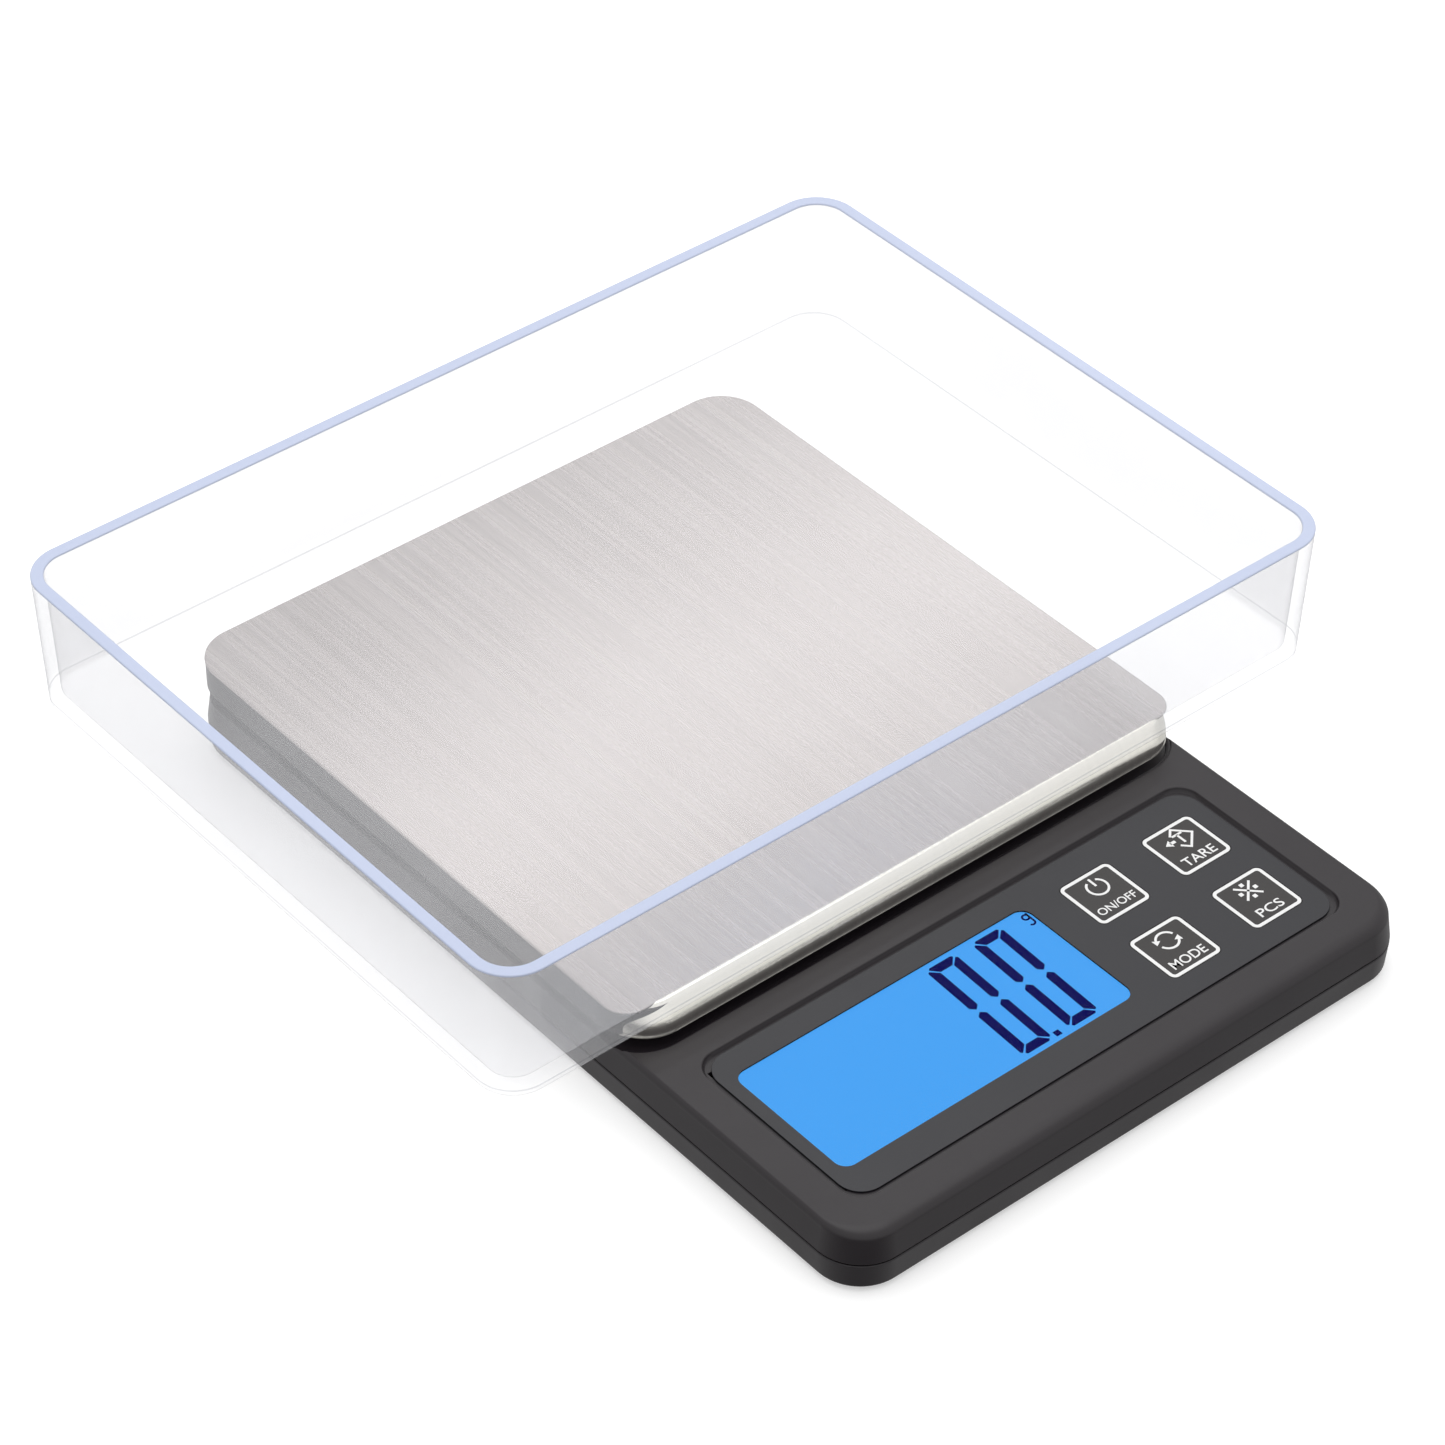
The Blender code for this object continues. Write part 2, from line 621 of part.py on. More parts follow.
def make_display():
    half_x, half_y = LCD_WIDTH / 2, LCD_DEPTH / 2
    box(
        "lcd_glass",
        (LCD_X - half_x, LCD_Y - half_y, LCD_BOTTOM),
        (LCD_X + half_x, LCD_Y + half_y, LCD_TOP),
        LCD_GLASS,
    )
    guide_low, guide_high = BOARD_TOP + 0.9 * MM, LCD_BOTTOM - GAP
    front = LCD_Y - half_y + 4.2 * MM
    box(
        "backlight_guide",
        (LCD_X - half_x + 1.2 * MM, front, guide_low),
        (LCD_X + half_x - 1.2 * MM, LCD_Y + half_y - 0.6 * MM, guide_high),
        LIGHT_GUIDE,
    )
    box(
        "lcd_contact_strip",
        (LCD_X - half_x + 6 * MM, LCD_Y - half_y + 1.0 * MM, BOARD_TOP + GAP),
        (LCD_X + half_x - 6 * MM, LCD_Y - half_y + 3.2 * MM, guide_high),
        SILICONE,
    )
    holder_low, holder_high = BOARD_TOP + GAP, LCD_BOTTOM - GAP
    rim, space = 1.3 * MM, 0.4 * MM
    holder = box(
        "lcd_holder",
        (LCD_X - half_x - rim, LCD_Y - half_y - rim, holder_low),
        (LCD_X + half_x + rim, LCD_Y + half_y + rim, holder_high),
        GREY_PLASTIC,
    )
    cut(
        holder,
        box(
            "holder_hollow",
            (LCD_X - half_x + 1.2 * MM - space, LCD_Y - half_y + 1.0 * MM - space, 0.0),
            (LCD_X + half_x - 1.2 * MM + space, LCD_Y + half_y - 0.6 * MM + space, PANEL_TOP),
        ),
    )


def make_board():
    board = box(
        "main_board",
        (-BOARD_WIDTH / 2, BOARD_Y - BOARD_DEPTH / 2, BOARD_BOTTOM),
        (BOARD_WIDTH / 2, BOARD_Y + BOARD_DEPTH / 2, BOARD_TOP),
        BOARD_GREEN,
        corner=1.5 * MM,
    )
    head = (BOARD_BOTTOM - 1.3 * MM, BOARD_BOTTOM - 0.15 * MM)
    for i, (x, y) in enumerate(BOARD_SCREWS):
        cut(board, cylinder(f"board_hole_{i}", (x, y), 0.0, PARTING + MM, 3.0 * MM, sides=BORE_SIDES))
        screw(f"board_screw_{i + 1}", x, y, *head, 8.4 * MM, 4.4 * MM, 2.0 * MM)
    turned(
        "chip_cover",
        [
            (0.0, 4.1 * MM),
            (4.5 * MM, 4.1 * MM),
            (4.2 * MM, 3.7 * MM),
            (3.0 * MM, 3.25 * MM),
            (0.0, 3.0 * MM),
        ],
        (-18.0 * MM, FRONT + 30.5 * MM, 0.0),
        EPOXY,
    )


# ---------------------------------------------------------------- weighing parts
def make_load_cell():
    half = BEAM_LENGTH / 2
    middle = BEAM_BOTTOM + BEAM_HEIGHT / 2
    beam = box(
        "load_cell",
        (-half, PLATFORM_Y - BEAM_WIDTH / 2, BEAM_BOTTOM),
        (half, PLATFORM_Y + BEAM_WIDTH / 2, BEAM_BOTTOM + BEAM_HEIGHT),
        ALUMINIUM,
    )
    for name, x in (("left", -4.6 * MM), ("right", 4.6 * MM)):
        hole = cylinder(f"flexure_{name}", (0.0, 0.0), -BEAM_WIDTH, BEAM_WIDTH, 4.2 * MM)
        hole.rotation_euler = (math.pi / 2, 0.0, 0.0)
        hole.location = (x, PLATFORM_Y, middle)
        cut(beam, hole)
    cut(
        beam,
        box(
            "flexure_slot",
            (-4.6 * MM, PLATFORM_Y - BEAM_WIDTH, middle - 0.8 * MM),
            (4.6 * MM, PLATFORM_Y + BEAM_WIDTH, middle + 0.8 * MM),
        ),
    )
    for i, x in enumerate(BEAM_SCREWS):
        for side in (-1, 1):
            name = f"beam_bore_{i}_{'fixed' if side < 0 else 'free'}"
            cut(beam, cylinder(name, (side * x, PLATFORM_Y), 0.0, 20 * MM, M3_CLEARANCE, sides=BORE_SIDES))
        for name, place, head_low, head_high, tip in (
            ("fixed", -x, 1.35 * MM, 2.55 * MM, 9.6 * MM),
            ("free", x, 13.6 * MM, 15.2 * MM, 5.6 * MM),
        ):
            bolt = f"load_cell_{name}_screw_{i + 1}"
            screw(bolt, place, PLATFORM_Y, head_low, head_high, tip, M3_HEAD, M3_SHANK)
    box(
        "strain_gauge_cover",
        (-7.5 * MM, PLATFORM_Y - 5 * MM, BEAM_BOTTOM + BEAM_HEIGHT + GAP),
        (-0.5 * MM, PLATFORM_Y + 5 * MM, BEAM_BOTTOM + BEAM_HEIGHT + 1.3 * MM),
        SILICONE,
        edge=0.5 * MM,
    )


def make_carrier():
    half = CARRIER_SIZE / 2
    plate = (-half, half, PLATFORM_Y - half, PLATFORM_Y + half, 5 * MM)
    levels = [level(CARRIER_BOTTOM, plate), level(CARRIER_TOP, plate)]
    carrier = loft("platform_carrier", levels, GREY_PLASTIC)
    boss_low = (9.0 * MM, PLATFORM_Y - BEAM_WIDTH / 2, BEAM_BOTTOM + BEAM_HEIGHT + GAP)
    boss_high = (BEAM_LENGTH / 2 + 0.5 * MM, PLATFORM_Y + BEAM_WIDTH / 2, CARRIER_TOP - 0.4 * MM)
    join(carrier, box("load_boss", boss_low, boss_high))
    rib_low, rib_high = CARRIER_BOTTOM - 1.4 * MM, CARRIER_BOTTOM + 0.4 * MM
    rib, reach = 0.9 * MM, half - 4 * MM
    ribs = [(0.0, offset, reach, rib) for offset in (-26 * MM, 0.0, 22 * MM)]
    ribs += [(x, 0.0, rib, reach) for x in (-38 * MM, 38 * MM)]
    for i, (x, offset, half_x, half_y) in enumerate(ribs):
        y = PLATFORM_Y + offset
        low, high = (x - half_x, y - half_y, rib_low), (x + half_x, y + half_y, rib_high)
        join(carrier, box(f"carrier_rib_{i}", low, high))
    for i, x in enumerate(BEAM_SCREWS):
        cut(
            carrier,
            cylinder(f"free_bore_{i}", (x, PLATFORM_Y), 5 * MM, 25 * MM, M3_CLEARANCE, sides=BORE_SIDES),
            cylinder(f"free_counterbore_{i}", (x, PLATFORM_Y), 13.3 * MM, 25 * MM, 6.2 * MM),
        )
    return carrier


def make_platform_plate():
    half = PLATFORM_SIZE / 2
    outline = (-half, half, PLATFORM_Y - half, PLATFORM_Y + half, PLATFORM_CORNER)
    curl = 0.25 * MM
    levels = [level(SKIRT_BOTTOM, outline, curl), level(SKIRT_BOTTOM + curl, outline)]
    levels += fillet_levels(outline, PLATFORM_TOP, PLATFORM_EDGE, PLATFORM_EDGE, PLATFORM_EDGE, 0.0)
    plate = loft("platform_plate", levels, STEEL)
    inner_levels = [level(SKIRT_BOTTOM - MM, outline, SHEET)]
    inner_edge = PLATFORM_EDGE - SHEET
    inner = tuple(v + s * SHEET for v, s in zip(outline, (1, -1, 1, -1, -1)))
    inner_levels += fillet_levels(
        inner, PLATFORM_TOP - SHEET, inner_edge, inner_edge, inner_edge, 0.0, steps=3
    )
    cut(plate, loft("plate_hollow", inner_levels))
    return smooth(plate)


def make_tray():
    half_x, half_y = TRAY_WIDTH / 2, TRAY_DEPTH / 2
    rim = (TRAY_X - half_x, TRAY_X + half_x, TRAY_Y - half_y, TRAY_Y + half_y, TRAY_CORNER)
    height = TRAY_TOP - TRAY_Z

    def lean(z):
        return TRAY_DRAFT * (TRAY_TOP - z) / height

    axis = bpy.data.objects.new("tray_lift_axis", None)
    axis.location = (TRAY_X, TRAY_Y, 0.0)
    PARTS.objects.link(axis)
    outer = []
    for step in range(5):
        angle = math.radians(90 * step / 4)
        z = TRAY_Z + TRAY_EDGE * (1 - math.cos(angle))
        outer.append(level(z, rim, lean(z) + TRAY_EDGE * (1 - math.sin(angle))))
    lip = 0.35 * MM
    outer += [level(TRAY_TOP - lip, rim, lean(TRAY_TOP - lip)), level(TRAY_TOP, rim, lip)]
    tray = loft("weighing_tray", outer, CLEAR)
    inner = []
    inner_edge = 1.6 * MM
    floor = TRAY_Z + TRAY_FLOOR
    for step in range(4):
        angle = math.radians(90 * step / 3)
        z = floor + inner_edge * (1 - math.cos(angle))
        inner.append(level(z, rim, TRAY_WALL + lean(z) + inner_edge * (1 - math.sin(angle))))
    inner += [level(TRAY_TOP - lip, rim, TRAY_WALL), level(TRAY_TOP + MM, rim, TRAY_WALL - 1.35 * MM)]
    cut(tray, loft("tray_hollow", inner))
    smooth(tray)
    tray.parent = axis
    tray.matrix_parent_inverse.translation = -axis.location
    return tray


# ---------------------------------------------------------------- power
def make_cells():
    radius = CELL_DIAMETER / 2
    plate_thickness = 0.4 * MM
    plate_x = BAY_HALF_LENGTH - GAP - plate_thickness
    nub = 0.9 * MM
    for i, (y, side) in enumerate(zip(CELL_ROWS, (1, -1))):
        end = side * (plate_x - GAP)
        profile = [
            (0.0, CELL_LENGTH),
            (1.8 * MM, CELL_LENGTH),
            (1.9 * MM, CELL_LENGTH - nub),
            (radius - 0.6 * MM, CELL_LENGTH - nub),
            (radius, CELL_LENGTH - nub - 0.6 * MM),
            (radius, 0.5 * MM),
            (radius - 0.5 * MM, 0.0),
            (0.0, 0.0),
        ]
        cell = turned(f"aaa_cell_{i + 1}", profile, (0.0, 0.0, 0.0), CELL_SLEEVE)
        cell.rotation_euler = (0.0, side * math.pi / 2, 0.0)
        cell.location = (end - side * CELL_LENGTH, y, CELL_Z)

        coil_end = -side * (plate_x - GAP)
        cell_foot = end - side * (CELL_LENGTH + GAP)
        tube(f"cell_spring_{i + 1}", spring_points(coil_end, cell_foot, y), 0.5 * MM, NICKEL)

    low, high = CELL_Z - 4 * MM, CELL_Z + 4 * MM
    thin = (plate_x, plate_x + plate_thickness)
    middle = sum(CELL_ROWS) / 2
    reach = (CELL_ROWS[1] - CELL_ROWS[0]) / 2 + 4 * MM
    box("cell_link_plate", (-thin[1], middle - reach, low), (-thin[0], middle + reach, high), NICKEL)
    for name, y in zip(("positive", "negative"), CELL_ROWS):
        box(f"{name}_contact", (thin[0], y - 4 * MM, low), (thin[1], y + 4 * MM, high), NICKEL)


def spring_points(start, end, y):
    """A conical coil along X, wide at the contact plate and narrow at the cell."""
    turns, per_turn = 3, 10
    wire = 0.25 * MM
    sign = 1 if end > start else -1
    length = abs(end - start) - 2 * wire
    points = []
    for i in range(turns * per_turn + 1):
        t = i / (turns * per_turn)
        angle = 2 * math.pi * turns * t
        radius = (3.4 - 1.4 * t) * MM
        x = start + sign * (wire + length * t)
        points.append((x, y + radius * math.cos(angle), CELL_Z + radius * math.sin(angle)))
    return points


def make_wires():
    """The battery leads and the cable of the strain gauges, which all end at the back of the board."""
    board_back = BOARD_Y + BOARD_DEPTH / 2 + GAP
    z = BOARD_BOTTOM + BOARD_THICKNESS / 2
    for name, x_offset, y, material in (
        ("positive_lead", 0.0, CELL_ROWS[0] - 2.0 * MM, RED_WIRE),
        ("negative_lead", 3.0 * MM, CELL_ROWS[1] - 2.0 * MM, BLACK_WIRE),
    ):
        start_x = BAY_HALF_LENGTH + BAY_WALL + GAP
        route = [
            (start_x, y, 7.2 * MM),
            (start_x + 4 * MM + x_offset, y - 2 * MM, 7.0 * MM),
            (start_x + 7 * MM + x_offset, y - 12 * MM, 6.6 * MM),
            (start_x + 8 * MM + x_offset, PLATFORM_Y, 6.4 * MM),
            (start_x + 5 * MM + x_offset, PLATFORM_Y - 30 * MM, 6.2 * MM),
            (22 * MM + x_offset, board_back + 8 * MM, 5.6 * MM),
            (20 * MM + x_offset, board_back, z),
        ]
        tube(name, smooth_route(route, 5 * MM), 1.1 * MM, material)
    route = [
        (-6.0 * MM, PLATFORM_Y - BEAM_WIDTH / 2 - GAP, 7.0 * MM),
        (-6.0 * MM, PLATFORM_Y - BEAM_WIDTH / 2 - 4 * MM, 6.4 * MM),
        (-10.0 * MM, PLATFORM_Y - 24 * MM, 5.2 * MM),
        (-4.0 * MM, PLATFORM_Y - 40 * MM, 5.4 * MM),
        (-6.0 * MM, board_back + 6 * MM, 5.4 * MM),
        (-6.0 * MM, board_back, z),
    ]
    tube("load_cell_cable", smooth_route(route, 5 * MM), 1.8 * MM, GREY_WIRE)


# ---------------------------------------------------------------- small fixings
def make_feet():
    radius = FOOT_DIAMETER / 2
    for i, (x, y) in enumerate(foot_places()):
        profile = [
            (0.0, FOOT_HEIGHT),
            (radius, FOOT_HEIGHT),
            (radius, 0.5 * MM),
            (radius - 0.2 * MM, 0.15 * MM),
            (radius - 0.6 * MM, 0.0),
            (0.0, 0.0),
        ]
        turned(f"rubber_foot_{i + 1}", profile, (x, y, 0.0), RUBBER)


def make_housing_screws():
    for i, (x, y) in enumerate(housing_screw_places()):
        screw(f"housing_screw_{i + 1}", x, y, 1.3 * MM, 2.2 * MM, 8.2 * MM, 4.6 * MM, 2.2 * MM)


make_lower_housing()
make_upper_housing()
make_battery_door()
make_panel_overlay()
make_keys()
make_display()
make_board()
make_load_cell()
make_carrier()
make_platform_plate()
make_tray()
make_cells()
make_wires()
make_feet()
make_housing_screws()
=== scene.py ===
"""Looks of the gram scale: finely rounded shells, brushed steel, clear tray, lit display and printed keys.

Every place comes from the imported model: the boxes of its nodes give where each piece goes. The front of
the scale is at -Y, the table is at z = 0, and everything is in metres.
"""

import json
import math

import bmesh
import bpy
from mathutils import Matrix, Vector


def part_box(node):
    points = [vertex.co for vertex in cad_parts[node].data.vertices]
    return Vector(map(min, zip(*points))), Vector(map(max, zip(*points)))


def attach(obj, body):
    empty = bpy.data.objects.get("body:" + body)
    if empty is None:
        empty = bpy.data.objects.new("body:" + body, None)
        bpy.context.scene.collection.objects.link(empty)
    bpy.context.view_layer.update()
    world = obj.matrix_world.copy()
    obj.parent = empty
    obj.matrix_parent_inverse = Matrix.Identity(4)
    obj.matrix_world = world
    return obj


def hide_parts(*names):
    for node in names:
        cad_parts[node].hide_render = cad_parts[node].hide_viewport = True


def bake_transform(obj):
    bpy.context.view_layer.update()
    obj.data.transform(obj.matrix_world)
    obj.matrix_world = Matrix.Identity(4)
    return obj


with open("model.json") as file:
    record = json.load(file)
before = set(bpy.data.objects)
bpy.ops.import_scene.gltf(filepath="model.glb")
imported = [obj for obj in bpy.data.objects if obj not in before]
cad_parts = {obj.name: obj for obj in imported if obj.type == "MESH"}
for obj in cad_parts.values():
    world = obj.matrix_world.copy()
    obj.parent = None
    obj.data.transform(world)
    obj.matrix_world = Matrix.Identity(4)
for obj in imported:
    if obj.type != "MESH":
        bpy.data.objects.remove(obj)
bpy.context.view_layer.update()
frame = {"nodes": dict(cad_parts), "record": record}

MM = 0.001
CORNER_STEPS = 20  # faces round a corner seen from above
FILLET_STEPS = 8  # faces across a rounded edge
LIP_STEPS = 4  # the same for the smallest edges
ROUND_STEPS = 72  # sides of a turned piece
ON_AXIS = 1e-7
SAME_PLACE = 1e-9
SHARPEST_MITRE = 0.4
KEYS = ("power", "tare", "mode", "count")
CORNERS = range(1, 5)  # numbers of the feet and the housing screws

scene = bpy.context.scene


# ---- meshes
def placed(name, data):
    obj = bpy.data.objects.new(name, data)
    scene.collection.objects.link(obj)
    return obj


def link(name, mesh, *materials):
    for material in materials:
        mesh.materials.append(material)
    return placed(name, mesh)


def from_bmesh(name, bm, *materials):
    bmesh.ops.recalc_face_normals(bm, faces=bm.faces)
    mesh = bpy.data.meshes.new(name)
    bm.to_mesh(mesh)
    bm.free()
    return link(name, mesh, *materials)


def evaluated(obj):
    """A new mesh of what the object's modifiers or lettering make."""
    graph = bpy.context.evaluated_depsgraph_get()
    return bpy.data.meshes.new_from_object(obj.evaluated_get(graph))


def shaded(obj, angle=32):
    """Smooth shading that keeps large flat faces flat."""
    obj.data.shade_smooth()
    obj.data.set_sharp_from_angle(angle=math.radians(angle))
    weighted = obj.modifiers.new("flat_faces", "WEIGHTED_NORMAL")
    weighted.keep_sharp = True
    weighted.weight = 100
    return obj


def combined(obj, *others, operation="DIFFERENCE"):
    """Cuts the others from obj, or joins them to it, and removes them."""
    for other in others:
        modifier = obj.modifiers.new(other.name, "BOOLEAN")
        modifier.operation = operation
        modifier.solver = "EXACT"
        modifier.object = other
    mesh = evaluated(obj)
    obj.modifiers.clear()
    obj.data = mesh
    for other in others:
        bpy.data.objects.remove(other, do_unlink=True)
    return obj


def middle_of(low, high):
    """The middle of a box, seen from above."""
    return (low.x + high.x) / 2, (low.y + high.y) / 2


def quarter_angles(steps, first=0):
    return [math.radians(90 * step / steps) for step in range(first, steps + 1)]


def outline(rectangle, steps=None):
    """Points round a rectangle (x_low, x_high, y_low, y_high, corner radius), anticlockwise.

    A sixth number is the radius of the two front corners, where it differs.
    """
    x_low, x_high, y_low, y_high, radius = rectangle[:5]
    front = rectangle[-1]
    steps = steps or CORNER_STEPS
    points = []
    for x, y, radius, start in (
        (x_high - front, y_low + front, front, -90),
        (x_high - radius, y_high - radius, radius, 0),
        (x_low + radius, y_high - radius, radius, 90),
        (x_low + front, y_low + front, front, 180),
    ):
        for step in range(steps + 1):
            angle = math.radians(start + 90 * step / steps)
            points.append((x + radius * math.cos(angle), y + radius * math.sin(angle)))
    return points


def inset(rectangle, by, front=None):
    """The rectangle made smaller all round, or by another amount at the front."""
    x_low, x_high, y_low, y_high, *corners = rectangle
    front = by if front is None else front
    corners = [max(radius - by, 0.05 * MM) for radius in corners]
    return (x_low + by, x_high - by, y_low + front, y_high - by, *corners)


def loft(name, levels, *materials, steps=None):
    """A closed solid through (z, rectangle) levels, in order along its skin."""
    bm = bmesh.new()
    rings = [[bm.verts.new((x, y, z)) for x, y in outline(r, steps)] for z, r in levels]
    for lower, upper in zip(rings, rings[1:]):
        for i in range(len(lower)):
            j = (i + 1) % len(lower)
            bm.faces.new((lower[i], lower[j], upper[j], upper[i]))
    bm.faces.new(rings[0][::-1])
    bm.faces.new(rings[-1])
    return from_bmesh(name, bm, *materials)


def quarter(z, rectangle, rise, reach, steps=None, front=None):
    """Levels along a quarter round, from the wall to where it has gone in by reach and up by rise."""
    levels = []
    for angle in quarter_angles(steps or FILLET_STEPS):
        share = 1 - math.cos(angle)
        front_inset = None if front is None else front * share
        levels.append((z + rise * math.sin(angle), inset(rectangle, reach * share, front_inset)))
    return levels


def block(name, low, high, *materials, edge=0.0, upright=0.0):
    """A box with round edges: upright for its corners, edge for top and bottom."""
    rectangle = (low[0], high[0], low[1], high[1], max(upright, edge, 0.02 * MM))
    if not edge:
        return loft(name, [(low[2], rectangle), (high[2], rectangle)], *materials, steps=6)
    levels = quarter(low[2] + edge, rectangle, -edge, edge, 4)[::-1]
    levels += quarter(high[2] - edge, rectangle, edge, edge, 4)
    return loft(name, levels, *materials, steps=6)


def turned(name, profile, centre, *materials, sides=None, direction=(0, 0, 1)):
    """A solid of revolution through (radius, height) pairs."""
    sides = sides or ROUND_STEPS
    bm = bmesh.new()
    rings = []
    for radius, height in profile:
        if radius < ON_AXIS:
            rings.append([bm.verts.new((0, 0, height))])
            continue
        angles = [2 * math.pi * i / sides for i in range(sides)]
        rings.append([bm.verts.new((radius * math.cos(a), radius * math.sin(a), height)) for a in angles])
    for lower, upper in zip(rings, rings[1:]):
        for i in range(sides):
            j = (i + 1) % sides
            lows, highs = len(lower), len(upper)
            corners = [lower[i % lows], lower[j % lows], upper[j % highs], upper[i % highs]]
            corners = list(dict.fromkeys(corners))
            if len(corners) > 2:
                bm.faces.new(corners)
    turn = Vector((0, 0, 1)).rotation_difference(Vector(direction)).to_matrix().to_4x4()
    bmesh.ops.transform(bm, matrix=Matrix.Translation(centre) @ turn, verts=bm.verts)
    return from_bmesh(name, bm, *materials)


def disc(name, place, radius, z_low, z_high, sides):
    """A plain upright cylinder."""
    return turned(name, [(0, z_low), (radius, z_low), (radius, z_high), (0, z_high)], (*place, 0), sides=sides)


class Print:
    """Flat marks in one ink, between two heights."""

    def __init__(self, z_low, z_high):
        self.bm = bmesh.new()
        self.heights = (z_low, z_high)

    def area(self, points):
        lower, upper = ([self.bm.verts.new((x, y, z)) for x, y in points] for z in self.heights)
        face = self.bm.faces.new
        face(upper)
        face(lower[::-1])
        for i in range(len(points)):
            j = (i + 1) % len(points)
            face((lower[i], lower[j], upper[j], upper[i]))

    def line(self, points, width, closed=False):
        count = len(points)
        sides = ([], [])
        for i, (x, y) in enumerate(points):
            before = points[(i - 1) % count] if closed or i else points[i]
            after = points[(i + 1) % count] if closed or i < count - 1 else points[i]
            first = Vector((x - before[0], y - before[1]))
            second = Vector((after[0] - x, after[1] - y))
            first = first.normalized() if first.length > SAME_PLACE else second.normalized()
            second = second.normalized() if second.length > SAME_PLACE else first
            along = (first + second).normalized()
            across = Vector((-along.y, along.x))
            reach = 0.5 * width / max(SHARPEST_MITRE, across.dot(Vector((-first.y, first.x))))
            for side, sign in zip(sides, (1, -1)):
                place = Vector((x, y)) + sign * reach * across
                side.append([self.bm.verts.new((place.x, place.y, z)) for z in self.heights])
        left, right = sides
        face = self.bm.faces.new
        for i in range(count if closed else count - 1):
            j = (i + 1) % count
            face((right[i][1], right[j][1], left[j][1], left[i][1]))
            face((left[i][0], left[j][0], right[j][0], right[i][0]))
            face((left[i][1], left[j][1], left[j][0], left[i][0]))
            face((right[i][0], right[j][0], right[j][1], right[i][1]))
        if not closed:
            for i in (0, count - 1):
                face((left[i][0], right[i][0], right[i][1], left[i][1]))

    def piece(self, name, ink):
        return from_bmesh(name, self.bm, ink)


def arc(centre, radius, start, end, steps=24):
    angles = [math.radians(start + (end - start) * i / steps) for i in range(steps + 1)]
    return [(centre[0] + radius * math.cos(a), centre[1] + radius * math.sin(a)) for a in angles]


def words(name, text, centre_x, baseline, width, height, z_low, z_high, ink):
    """Flat plain lettering, fitted to a width and a capital height."""
    curve = bpy.data.curves.new(name, "FONT")
    curve.body = text
    curve.resolution_u = 4
    curve.extrude = half_thick = 0.5
    curve.offset = 0.007
    maker = placed("maker", curve)
    mesh = evaluated(maker)
    bpy.data.objects.remove(maker, do_unlink=True)
    low = [min(v.co[i] for v in mesh.vertices) for i in range(2)]
    high = [max(v.co[i] for v in mesh.vertices) for i in range(2)]
    scale_x, scale_y = width / (high[0] - low[0]), height / (high[1] - low[1])
    for vertex in mesh.vertices:
        x, y, z = vertex.co
        vertex.co = (
            centre_x + (x - (low[0] + high[0]) / 2) * scale_x,
            baseline + (y - low[1]) * scale_y,
            z_low + (z + half_thick) * (z_high - z_low),
        )
    mesh.materials.clear()
    return link(name, mesh, ink)


# ---- materials
MOST = (0.3, 0.7)  # nearly all of a noise lies between these


class Nodes:
    """Short ways to add nodes to one material, or to the world."""

    def __init__(self, name, owners=bpy.data.materials, shader="Principled BSDF", place="Object"):
        self.owner = owners.new(name)
        self.owner.use_nodes = True
        self.nodes = self.owner.node_tree.nodes
        self.shader = self.nodes[shader]
        self.place = self.add("TexCoord").outputs[place]

    def add(self, kind, **values):
        """A new node, with each value in the input of that name. In names here, _ stands for a space."""
        return self.fill(self.nodes.new("ShaderNode" + kind), **values)

    def put(self, socket, value):
        if isinstance(value, bpy.types.NodeSocket):
            self.owner.node_tree.links.new(value, socket)
        else:
            socket.default_value = value

    def fill(self, node, **values):
        for key, value in values.items():
            self.put(node.inputs[key.replace("_", " ")], value)
        return node

    def stretched(self, scale):
        return self.add("Mapping", Vector=self.place, Scale=scale).outputs["Vector"]

    def noise(self, scale, detail=2.0, roughness=0.5, vector=None, distortion=0.0):
        node = self.add(
            "TexNoise", Vector=vector or self.place, Scale=scale,
            Detail=detail, Roughness=roughness, Distortion=distortion,
        )
        return node.outputs["Fac"]

    def ramp(self, value, *stops):
        """Stops are (place, colour or grey)."""
        node = self.add("ValToRGB", Fac=value)
        points = node.color_ramp.elements
        while len(points) < len(stops):
            points.new(0.5)
        for point, (place, colour) in zip(points, stops):
            point.position = place
            point.color = (*colour, 1.0) if hasattr(colour, "__len__") else (colour, colour, colour, 1.0)
        return node.outputs["Color"]

    def range(self, value, from_low, from_high, to_low, to_high):
        node = self.add(
            "MapRange", Value=value, From_Min=from_low, From_Max=from_high, To_Min=to_low, To_Max=to_high
        )
        return node.outputs["Result"]

    def joined(self, kind, *values):
        """A new node that makes one thing of the values, in the order of its inputs."""
        node = self.add(kind)
        for socket, value in zip(node.inputs, values):
            self.put(socket, value)
        return node.outputs[0]

    def math(self, operation, *values):
        result = self.joined("Math", *values)
        result.node.operation = operation
        return result

    def mix(self, factor, *colours):
        node = self.add("Mix")
        node.data_type = "RGBA"
        self.put(node.inputs["Factor"], factor)
        for key, colour in zip("AB", colours):
            if not isinstance(colour, bpy.types.NodeSocket):
                colour = (*colour, 1.0)
            self.put(node.inputs[key], colour)
        return node.outputs["Result"]

    def bump(self, height, strength, distance, **normal):
        node = self.add("Bump", Height=height, Strength=strength, Distance=distance, **normal)
        return node.outputs["Normal"]

    def mirror(self, head_on, grazing=0.9):
        """How much a clear skin mirrors: little where it is seen head on, most at a grazing angle."""
        facing = self.add("LayerWeight").outputs["Facing"]
        return self.math("MULTIPLY_ADD", self.math("POWER", facing, 5.0), grazing, head_on)

    def set(self, **values):
        self.fill(self.shader, **values)
        return self

    def finish_with(self, shader):
        self.fill(self.nodes["Material Output"], Surface=shader)
        return self.owner


